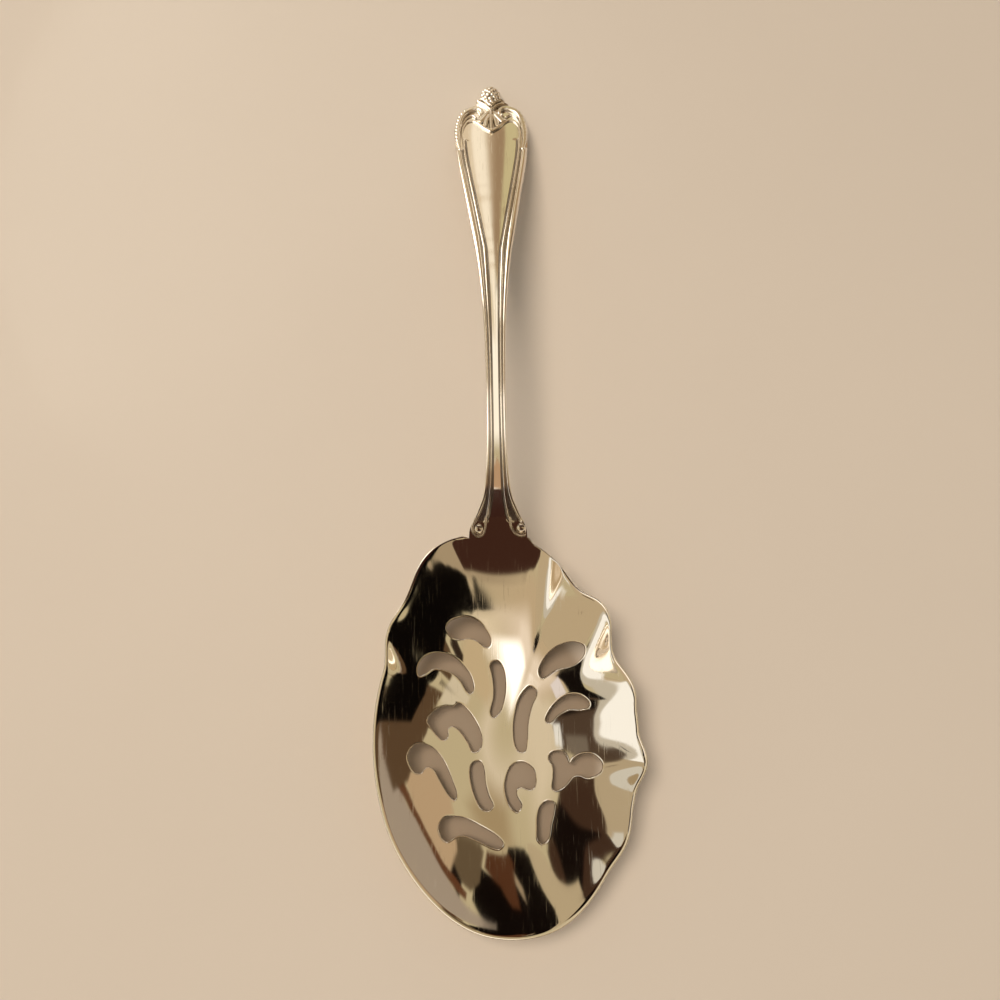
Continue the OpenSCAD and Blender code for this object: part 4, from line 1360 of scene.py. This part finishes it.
@dataclass(frozen=True)
class PolishedSilver:
    """Silver plate, buffed to a mirror: near-white reflections, warm where a little tarnish is left.

    Table use leaves hairline scratches, and buffing leaves tarnish in the hollows of threads and relief. The
    walls of the openings are painted darker towards the tarnish colour, as painted shade.
    """

    name: str
    metal: str = "#f3ece0"
    tarnish: str = "#3b2a1b"
    tarnish_depth: float = 0.75
    # Painted shade on the walls of the openings, as a share of the way to the tarnish colour
    cut_painted_shade: float = 0.62
    roughness: float = 0.055
    hollow_roughness: float = 0.34
    cut_roughness: float = 0.22
    scratch_roughness: float = 0.16
    # Finger smudges: their size, and how far they even out tarnish and roughness
    smudge_mm: float = 9.0
    tarnish_gain: tuple[float, float] = (0.9, 0.45)
    roughness_gain: tuple[float, float] = (0.8, 0.6)
    # Real hairlines are far finer and closer, and are drawn as coarse as they need to show
    scratches_per_mm: float = 3.2
    scratch_length: float = 9.0
    scratch_turns: tuple[float, ...] = (0.35, 1.25, 2.4)
    scratch_crest: tuple[float, float] = (0.66, 0.74)
    scratch_depth: float = 0.004
    scratch_bump: float = 0.25
    wave_mm: float = 14.0
    wave_height: float = 0.012

    def build(self) -> Material:
        """Makes the material.

        Returns:
            The material.
        """
        material, tree = new_material(self.name)
        place = add_node(tree, "TexCoord").outputs["Object"]
        recess = add_node(tree, "Attribute", attribute_name="recess").outputs["Fac"]
        cut = add_node(tree, "Attribute", attribute_name="cut").outputs["Fac"]
        smudge = add_node(tree, "TexNoise", {
            "Vector": place, "Scale": 1 / (self.smudge_mm * MM), "Detail": 3.0,
        }).outputs["Fac"]
        scratch = self.scratches(tree, place)
        gain, least = self.tarnish_gain
        uneven = add_node(tree, "Math", {0: smudge, 1: gain, 2: least}, operation="MULTIPLY_ADD").outputs[0]
        hollow = add_node(tree, "Math", {
            0: recess, 1: uneven,
        }, operation="MULTIPLY", use_clamp=True).outputs[0]
        # Painted shade on the walls of the openings, added to the tarnish in the hollows
        wall_shade = add_node(tree, "Math", {0: cut, 1: self.cut_painted_shade}, operation="MULTIPLY").outputs[0]
        dark = add_node(tree, "Math", {
            0: hollow, 1: self.tarnish_depth, 2: wall_shade,
        }, operation="MULTIPLY_ADD", use_clamp=True).outputs[0]
        colour = add_node(tree, "Mix", {
            "Factor": dark, 6: linear(self.metal), 7: linear(self.tarnish),
        }, data_type="RGBA").outputs[2]
        gain, least = (self.roughness * share for share in self.roughness_gain)
        rough = add_node(tree, "Math", {0: smudge, 1: gain, 2: least}, operation="MULTIPLY_ADD").outputs[0]
        for factor, goal in (
            (hollow, self.hollow_roughness), (cut, self.cut_roughness), (scratch, self.scratch_roughness),
        ):
            rough = add_node(tree, "Mix", {"Factor": factor, 2: rough, 3: goal}).outputs[0]
        wave = add_node(tree, "TexNoise", {
            "Vector": place, "Scale": 1 / (self.wave_mm * MM), "Detail": 1.0,
        }).outputs["Fac"]
        waved = add_node(tree, "Bump", {
            "Strength": 1.0, "Distance": self.wave_height * MM, "Height": wave,
        }).outputs["Normal"]
        scored = add_node(tree, "Bump", {
            "Strength": self.scratch_bump, "Distance": self.scratch_depth * MM, "Height": scratch,
            "Normal": waved,
        }, invert=True).outputs["Normal"]
        shader = add_node(tree, "BsdfPrincipled", {
            "Base Color": colour, "Metallic": 1.0, "Roughness": rough, "Normal": scored,
        }).outputs[0]
        add_node(tree, "OutputMaterial", {"Surface": shader})
        return material

    def scratches(self, tree: Tree, place: Socket) -> Socket:
        """Hairlines: noise drawn out along a few directions, of which only the crests are kept.

        Args:
            tree: Tree that they go into.
            place: Where on the piece a point lies.

        Returns:
            1 on a scratch, 0 beside it.
        """
        total = None
        drawn_out = 1 / (self.scratch_length * MM)
        for turn in self.scratch_turns:
            drawn = add_node(tree, "Mapping", {
                "Vector": place, "Rotation": (0.0, 0.0, turn),
                "Scale": (self.scratches_per_mm / MM, drawn_out, drawn_out),
            }).outputs[0]
            noise = add_node(tree, "TexNoise", {"Vector": drawn, "Scale": 1.0, "Detail": 2.0}).outputs["Fac"]
            crest = add_node(tree, "MapRange", {
                "Value": noise, "From Min": self.scratch_crest[0], "From Max": self.scratch_crest[1],
            }, interpolation_type="SMOOTHSTEP").outputs[0]
            if total is None:
                total = crest
            else:
                total = add_node(tree, "Math", {0: total, 1: crest}, operation="MAXIMUM").outputs[0]
        return total


@dataclass(frozen=True)
class PaleCloth:
    """Matt cotton, pale and warm, which gives the floor a soft even tone, dimmed by a painted shadow where
    the bowl covers it.
    """

    colour: str = "#d9ccbb"
    # Painted shadow: inside an oval under the bowl the floor is painted this darker colour, which fades out
    # between the inner and the outer share of the oval
    painted_shadow_colour: str = "#a08e79"
    painted_shadow_inner: float = 0.82
    painted_shadow_outer: float = 1.0
    # Half width and half length of the oval of painted shadow under the bowl, in millimetres
    painted_shadow_oval: tuple[float, float] = (27.0, 38.0)
    roughness: float = 0.95
    patches_per_m: float = 9.0
    tones: tuple[float, float] = (0.97, 1.03)

    def build(self) -> Material:
        """Makes the material.

        Returns:
            The material.
        """
        material, tree = new_material("pale_matt_cotton")
        place = add_node(tree, "TexCoord").outputs["Object"]
        noise = add_node(tree, "TexNoise", {
            "Vector": place, "Scale": self.patches_per_m, "Detail": 4.0,
        }).outputs["Fac"]
        spread = add_node(tree, "VectorMath", {
            0: place, 1: (self.painted_shadow_oval[0] * MM, self.painted_shadow_oval[1] * MM, 1.0),
        }, operation="DIVIDE").outputs[0]
        away = add_node(tree, "VectorMath", {0: spread}, operation="LENGTH").outputs["Value"]
        # Painted shadow under the bowl: 0 inside the oval, 1 outside it
        outside_painted_shadow = add_node(tree, "MapRange", {
            "Value": away, "From Min": self.painted_shadow_inner, "From Max": self.painted_shadow_outer,
        }, interpolation_type="SMOOTHSTEP").outputs[0]
        cloth = add_node(tree, "Mix", {
            "Factor": outside_painted_shadow, 6: linear(self.painted_shadow_colour), 7: linear(self.colour),
        }, data_type="RGBA").outputs[2]
        tone = add_node(tree, "MapRange", {
            "Value": noise, "To Min": self.tones[0], "To Max": self.tones[1],
        }).outputs[0]
        colour = add_node(tree, "HueSaturation", {"Color": cloth, "Value": tone}).outputs[0]
        shader = add_node(tree, "BsdfPrincipled", {
            "Base Color": colour, "Roughness": self.roughness,
        }).outputs[0]
        add_node(tree, "OutputMaterial", {"Surface": shader})
        return material


@dataclass(frozen=True)
class Card:
    """A reflector or flag of the studio, a soft-edged patch that only mirrors see.

    Each row of the outline is an azimuth, which runs clockwise from +Y, with the upper and the lower
    edge of the patch there as angles from straight up, all in degrees round the origin. Its distance
    runs from the first to the second value between those edges. What is farther away than the reach
    doesn't mirror it, so that it can serve one part of the spoon alone.
    """

    name: str
    colour: str
    outline: Rows
    soft: float = 2.0
    strength: float = 1.0
    origin: tuple[float, float, float] = (0.0, 0.0, 0.0)
    distances: tuple[float, float] = (3000.0, 3000.0)
    reach: float = 1e6
    rows: int = 33
    columns: int = 49

    @property
    def across(self) -> Array:
        """Places over the patch from 0 to 1, close together at both ends, as a row."""
        return 0.5 - 0.5 * np.cos(np.linspace(0, math.pi, self.columns))[None, :]

    @property
    def along(self) -> Array:
        """Places down the patch from 0 to 1, close together at both ends, as a column."""
        return 0.5 - 0.5 * np.cos(np.linspace(0, math.pi, self.rows))[:, None]

    def grid(self) -> tuple[Array, Array, Array]:
        """The points of the patch as angles.

        Returns:
            Azimuth and angle of each, and the degrees by which it lies inside the edge.
        """
        first, last = self.outline[0][0], self.outline[-1][0]
        az = first + (last - first) * self.across
        upper, lower = (np.interp(az, *np.array(self.outline).T[[0, c]]) for c in (1, 2))
        down = upper + (lower - upper) * self.along
        sideways = np.minimum(az - first, last - az) * np.sin(np.radians(down))
        return az + 0 * down, down, np.minimum(sideways, np.minimum(down - upper, lower - down))

    def surface(self) -> tuple[Array, Array]:
        """The patch in space.

        Returns:
            Points in millimetres, row by row, and how solid it is at each.
        """
        az, down, inside = self.grid()
        away = self.distances[0] + (self.distances[1] - self.distances[0]) * self.along
        az, down = np.radians(az), np.radians(down)
        ways = np.stack([np.sin(down) * np.sin(az), np.sin(down) * np.cos(az), np.cos(down)], -1)
        return np.array(self.origin) + away[..., None] * ways, ease(inside / self.soft)

    def build(self, nearer: float) -> None:
        """Makes the patch and hides it from all but mirrors.

        Args:
            nearer: Share of the distance by which it hangs before the cards built earlier.
        """
        points, solid = self.surface()
        middle = np.array(self.origin)
        points = middle + (points - middle) * (1 - nearer)
        mesh = bpy.data.meshes.new(self.name)
        faces = grid_faces(self.rows, self.columns)
        mesh.from_pydata((points.reshape(-1, 3) * MM).tolist(), [], faces.tolist())
        mesh.attributes.new("edge", "FLOAT", "POINT").data.foreach_set("value", solid.ravel())
        mesh.polygons.foreach_set("use_smooth", np.ones(len(mesh.polygons), bool))
        card = bpy.data.objects.new(self.name, mesh)
        bpy.context.scene.collection.objects.link(card)
        mesh.materials.append(self.glow())
        for kind in ("camera", "diffuse", "shadow", "transmission", "volume_scatter"):
            setattr(card, "visible_" + kind, False)

    def glow(self) -> Material:
        """An even glow, full in the middle and clear at the edge and for rays beyond the reach.

        Returns:
            The material.
        """
        material, tree = new_material(self.name)
        glow = add_node(tree, "Emission", {
            "Color": linear(self.colour), "Strength": self.strength,
        }).outputs[0]
        clear = add_node(tree, "BsdfTransparent").outputs[0]
        length = add_node(tree, "LightPath").outputs["Ray Length"]
        near = add_node(tree, "Math", {0: length, 1: self.reach * MM}, operation="LESS_THAN").outputs[0]
        edge = add_node(tree, "Attribute", attribute_name="edge").outputs["Fac"]
        solid = add_node(tree, "Math", {0: near, 1: edge}, operation="MULTIPLY").outputs[0]
        soft = add_node(tree, "MixShader", {0: solid, 1: clear, 2: glow}).outputs[0]
        add_node(tree, "OutputMaterial", {"Surface": soft})
        return material


@dataclass(frozen=True)
class Lane(Card):
    """A card that hangs over the handle and follows what the handle mirrors from the neck to the tip.

    Each row of the ways is a place y and z on the handle, the angle from straight up towards +Y in
    which it mirrors, and the distance of the card there. In the outline azimuths are counted sideways
    from that line and angles are hundredths of the way along the table, over so many of which, the
    fade, its ends grow solid.
    """

    reach: float = 400.0
    fade: float = 4.0
    ways: Rows = (
        (66, 30, -2, 70), (74, 31, 12, 72), (83, 30.5, 24, 80), (93, 29, 34, 95), (108, 24, 50, 130),
        (126, 17, 68, 200), (150, 8, 84, 300), (165, 3, 92, 340),
    )

    def surface(self) -> tuple[Array, Array]:
        """The patch in space.

        Returns:
            Points in millimetres, row by row, and how solid it is at each.
        """
        turn, share, _ = self.grid()
        table = np.array(self.ways)
        steps = np.linspace(0.0, 100.0, len(table))
        y, z, angle, away = (np.interp(share, steps, c) for c in table.T)
        angle = np.radians(angle)
        side = away * np.tan(np.radians(turn))
        sideways = np.minimum(turn - turn[:, :1], turn[:, -1:] - turn)
        ends = np.minimum(share - share[:1], share[-1:] - share) / self.fade
        solid = ease(np.minimum(sideways / self.soft, ends))
        return np.stack([side, y + away * np.sin(angle), z + away * np.cos(angle)], -1), solid


@dataclass
class Studio:
    """Pale floor, plain soft light, the cards that shape the reflections, and the camera."""

    # The floor and the lamp are in metres, the cards and the camera's place in millimetres
    floor_size: float = 3.0
    daylight: str = "#ece6de"
    daylight_strength: float = 0.42
    room: str = "#c3b38f"
    backdrop: str = "#eadfce"
    lamp_colour: str = "#fff3e6"
    lamp_power: float = 9.0
    lamp_size: float = 0.5
    lamp_azimuth: float = -70.0
    lamp_angle: float = 14.0
    lamp_distance: float = 1.2
    camera_place: tuple[float, float, float] = (-0.55, -10.25, 251.3)
    camera_tilt: float = 15.945
    camera_yaw: float = 0.98
    lens: float = 36.0
    clip_start: float = 0.01
    card_step: float = 0.001
    cards: tuple[Card, ...] = (
        Card("room_front", "#a9936f", ((-15, 7, 33), (62, 7, 33)), 9.0),
        Card("room_above", "#decdb2", ((-200, 0, 20), (200, 0, 20)), 13.0),
        Card("room_right", "#dccbae", ((-200, 0, 46), (-120, 0, 44), (-60, 0, 38), (-20, 0, 34)), 16.0),
        Card("glow_tan", "#c4ad8b", ((-188, 20, 64), (-130, 20, 66), (-108, 26, 52)), 9.0),
        Card("glow_cream", "#f4e1ca", ((-188, 0, 54), (-150, 0, 52), (-112, 2, 50)), 13.0),
        Card("glow_core", "#fffaf2", ((-194, 0, 42), (-160, 0, 36), (-126, 1, 33)), 9.0, 1.9),
        Card("glow_left", "#f4e0c2", ((162, 8, 50), (184, 8, 52)), 11.0),
        Card("room_left", "#c8b18c", ((106, 8, 46), (150, 8, 46), (176, 8, 40)), 8.0),
        Card("wall_right_tan", "#c0ab8a", (
            (-160, 72, 83), (-150, 60, 84), (-140, 55, 85), (-125, 54, 87), (-117, 66, 87)), 2.0),
        Card("wall_left_tan", "#ab9779", ((126, 57, 96), (182, 56, 96)), 3.0),
        Card("window_grey", "#c9bfad", (
            (-124, 77, 87), (-114, 70, 87), (-105, 66, 87), (-98, 61, 87), (-88, 56, 87)), 1.5),
        Card("window_white", "#f6f2ea", (
            (-125, 83, 89), (-115, 78, 89), (-106, 72, 89), (-97, 66, 89), (-90, 60, 89),
            (-84, 60, 80)), 2.5, 1.15),
        Card("wall_right_pale", "#b8a586", ((-92, 54, 77), (-60, 54, 77)), 2.0),
        Card("window_far", "#d3ccbd", ((-79, 67, 75), (-70, 59, 76), (-58, 56, 76)), 1.5),
        Card("flag_right_black", "#120c09", (
            (-124, 45, 50), (-121, 47, 58), (-117, 49, 65), (-112, 50, 70), (-106, 55, 71)), 1.2),
        Card("window_patch", "#e8ddd8", ((-123, 38, 48), (-111, 38, 49)), 1.5),
        Card("flag_right_brown", "#503f31", (
            (-109, 58, 69), (-105, 34, 67), (-100, 30, 65), (-95, 29, 62), (-88, 31, 59),
            (-83, 37, 57)), 1.5),
        Card("flag_right_edge", "#0d0806", ((-108, 52, 68), (-104, 36, 66), (-100, 32, 64)), 2.0),
        Card("flag_right_grey", "#776a5b", ((-93, 38, 56), (-83, 38, 56)), 2.0),
        Card("window_small", "#efebe2", ((-99, 29.5, 36.5), (-84, 29.5, 36.5)), 1.5),
        Card("flag_front_brown", "#412d20", (
            (-81, 54, 58), (-77, 45, 58), (-72, 37, 57), (-65, 34, 56.5), (-58, 34, 62), (-53, 34, 60),
            (-48, 35, 54), (-42, 35.5, 47), (-37, 37, 42)), 1.2),
        Card("flag_front_black", "#150d09", ((-63, 35, 55), (-54, 34.5, 56), (-44, 36, 49)), 2.0),
        Card("diagonal_beige", "#bca988", (
            (-54, 52, 56), (-45, 46, 53), (-40, 42, 51), (-35, 36, 50), (-30, 32, 48.5), (-26, 30, 42),
            (-21, 29, 33)), 1.0),
        Card("flag_black", "#0f0906", (
            (-31, 45.5, 49.5), (-26, 39.5, 49), (-22, 32.5, 49), (-18, 29.5, 49), (-10, 28, 50),
            (0, 27.5, 50), (8, 36, 50), (31, 37, 48)), 1.0),
        Card("streak", "#a48f72", ((-11, 38, 42), (-5, 34, 37.5), (1, 29.5, 33)), 1.0),
        Card("flag_red_brown", "#54331f", (
            (-6, 32, 43), (0, 29, 43), (8, 29.5, 39), (16, 30, 38), (25, 31, 37)), 1.5),
        Card("flag_olive", "#65543e", (
            (25, 32, 41), (32, 31, 47), (40, 33, 49), (48, 36.5, 49.5), (53, 39, 46)), 1.5),
        Card("dark_spot", "#1b120c", ((38, 47, 53), (49, 47, 53)), 1.5),
        Card("right_beige", "#bda17f", (
            (46, 43, 53), (56, 37, 55.5), (66, 37, 58), (76, 41, 63), (85, 47, 69)), 2.0),
        Card("right_pale", "#a69684", (
            (10, 46.5, 50), (25, 48, 53), (40, 51.5, 58), (55, 55, 64), (70, 60, 72), (82, 69, 79),
            (92, 78, 84), (101, 83, 87)), 1.0),
        Card("right_line", "#613c25", (
            (34, 47.5, 50), (44, 49.5, 53), (52, 52.5, 55.5), (60, 54.5, 57.5), (70, 58, 61), (78, 63, 66.5),
            (84, 68.5, 73.5), (90, 75.5, 80.5), (99, 81.5, 85.5)), 0.8),
        Card("flag_left_brown", "#5b4530", (
            (81, 65, 73), (88, 59, 79), (94, 54, 83), (100, 53, 87), (106, 51, 88), (113, 48, 64)), 1.5),
        Card("light_left", "#d5c6aa", ((105, 27, 51), (118, 27, 51)), 3.0),
        Card("flag_left_dark", "#33261c", ((114, 39, 56), (127, 39, 56)), 2.0),
        Card("flag_left_black", "#0a0705", (
            (97, 67, 87), (110, 61, 87), (120, 57, 81), (130, 53, 73), (145, 48, 65), (160, 46.5, 61),
            (170, 46, 60), (178, 49, 59)), 1.2),
        Card("flag_neck", "#3f261c", (
            (150, 85, 96), (162, 74, 96), (170, 66, 96), (177, 59.5, 96), (194, 60, 96), (199, 61.5, 74),
            (208, 67, 73)), 1.2),
        Card("flag_neck_near", "#3a211a", ((116, 36.5, 92), (244, 36.5, 92)), 2.0, 1.0,
             (0, 70, 40), (57, 49.5), 90),
        Card("gleam_left", "#fff2ea", ((252, 20, 74), (322, 20, 74)), 8.0, 1.1,
             (0, 70, 40), (50, 50), 80),
        Card("gleam_right", "#fff2ea", ((38, 20, 60), (104, 20, 60)), 8.0, 0.8,
             (0, 70, 40), (50, 50), 80),
        Card("neck_tan", "#c09b78", ((140, -4, 38), (220, -4, 38)), 6.0, 0.95,
             (0, 64, 25), (24, 24), 40),
        Lane("lane_gleam_left", "#ffffff", ((-62, 4, 27), (-9, 4, 27)), 8.0, 1.9, fade=6.0),
        Lane("lane_gleam_right", "#ffffff", ((9, 6, 25), (62, 6, 25)), 8.0, 1.6, fade=6.0),
        Lane("lane_bright", "#fff6e6", ((-14, 1, 60), (14, 1, 60)), 5.0, 1.15, fade=9.0),
        Lane("lane_cream", "#dfcbad", ((-16, 40, 100), (3.0, 40, 100)), 3.0, 1.02, fade=9.0),
        Lane("lane_streak", "#fbeed8", (
            (-6.0, 80, 112), (-4.6, 64, 112), (-3.4, 54, 110), (-2.0, 46, 100), (-0.6, 38, 88),
            (0.8, 32, 74), (1.8, 30, 62)), 1.4, 1.08, fade=16.0),
        Lane("lane_brown", "#aa8e6e", ((-2.6, 76, 100), (1.0, 56, 100), (7.2, 44, 100)), 4.4, 0.9, fade=10.0),
        Lane("lane_olive", "#cdbf93", ((3.4, 50, 100), (7.4, 50, 100)), 0.8),
        Lane("lane_left", "#a8926f", ((-78, 23, 100), (-12, 23, 100)), 4.0, fade=5.0),
        Lane("lane_right", "#ab906f", ((7.0, 22, 100), (76, 22, 100)), 2.0, fade=5.0),
        Card("side_left", "#a08a69", ((232, 40, 98), (288, 40, 98)), 6.0, 1.0,
             (0, 120, 8), (60, 60), 88),
        Card("side_right", "#967f62", ((72, 40, 98), (128, 40, 98)), 6.0, 1.0,
             (0, 120, 8), (60, 60), 88),
        Card("tip_lamp", "#fffaf0", ((-130, 34, 108), (-32, 34, 108)), 9.0, 3.6,
             (0, 166, 3), (150, 150), 185),
        Card("tip_flag", "#3a2c20", ((50, 30, 84), (100, 30, 84)), 8.0, 1.0,
             (0, 166, 3), (150, 150), 185),
    )

    def build(self) -> None:
        """Sets the stage."""
        self.floor()
        self.lights()
        for order, card in enumerate(self.cards):
            card.build(order * self.card_step)
        self.camera()

    def floor(self) -> None:
        """Lays the floor at the height on which the spoon rests."""
        half = self.floor_size / 2
        mesh = bpy.data.meshes.new("floor")
        corners = [(x, y, 0.0) for x, y in ((-half, -half), (half, -half), (half, half), (-half, half))]
        mesh.from_pydata(corners, [], [(0, 1, 2, 3)])
        mesh.materials.append(PaleCloth().build())
        floor = bpy.data.objects.new("floor", mesh)
        bpy.context.scene.collection.objects.link(floor)

    def lights(self) -> None:
        """Sets the even daylight, what mirrors and the camera see in its place, and the soft lamp."""
        world = bpy.data.worlds.new("studio")
        bpy.context.scene.world = world
        world.use_nodes = True
        tree = world.node_tree
        tree.nodes.clear()
        rays = add_node(tree, "LightPath").outputs
        day, room, seen = (
            add_node(tree, "Background", {"Color": linear(colour), "Strength": strength}).outputs[0]
            for colour, strength in (
                (self.daylight, self.daylight_strength), (self.room, 1.0), (self.backdrop, 1.0),
            )
        )
        mirrored = add_node(tree, "MixShader", {0: rays["Is Glossy Ray"], 1: day, 2: room}).outputs[0]
        light = add_node(tree, "MixShader", {0: rays["Is Camera Ray"], 1: mirrored, 2: seen}).outputs[0]
        add_node(tree, "OutputWorld", {"Surface": light})
        lamp = bpy.data.lights.new("soft_lamp", "AREA")
        lamp.shape = "DISK"
        lamp.size = self.lamp_size
        lamp.energy = self.lamp_power
        lamp.color = linear(self.lamp_colour)[:3]
        holder = bpy.data.objects.new("soft_lamp", lamp)
        bpy.context.scene.collection.objects.link(holder)
        az, down = math.radians(self.lamp_azimuth), math.radians(self.lamp_angle)
        way = Vector((math.sin(down) * math.sin(az), math.sin(down) * math.cos(az), math.cos(down)))
        holder.location = way * self.lamp_distance
        holder.rotation_euler = way.to_track_quat("Z", "Y").to_euler()
        holder.visible_glossy = False

    def camera(self) -> None:
        """Places the camera: nearly straight down over the bowl, with the handle running up the view."""
        lens = bpy.data.cameras.new("camera")
        lens.lens = self.lens
        lens.sensor_width = self.lens
        lens.clip_start = self.clip_start
        camera = bpy.data.objects.new("camera", lens)
        bpy.context.scene.collection.objects.link(camera)
        yaw = Matrix.Rotation(-math.radians(self.camera_yaw), 4, "Z")
        tilt = Matrix.Rotation(math.radians(self.camera_tilt), 4, "X")
        camera.matrix_world = Matrix.Translation(Vector(self.camera_place) * MM) @ (yaw @ tilt)
        bpy.context.scene.camera = camera


def main() -> None:
    """Builds the spoon piece by piece, then the studio round it."""
    logging.basicConfig(level=logging.INFO, format="%(message)s")
    bowl_form = BowlForm()
    handle_form = HandleForm(bowl_form)
    bowl_plate = PolishedSilver("silver_plate_bowl").build()
    handle_plate = PolishedSilver("silver_plate_handle", roughness=0.07).build()
    ornament_plate = PolishedSilver("silver_plate_ornament", roughness=0.1, wave_height=0.0).build()
    Bowl(bowl_form).dress(bowl_plate)
    Handle(handle_form).dress(handle_plate)
    Heel(handle_form).dress(bowl_plate)
    for ornament in (
        *(Scroll(handle_form, side=side) for side in Side), Volute(handle_form),
        OpenVolute(handle_form), Palmette(handle_form), Calyx(handle_form), Bud(handle_form),
    ):
        ornament.dress(ornament_plate)
    Studio().build()
    bpy.context.scene.view_settings.view_transform = "Standard"


if __name__ == "__main__":
    main()
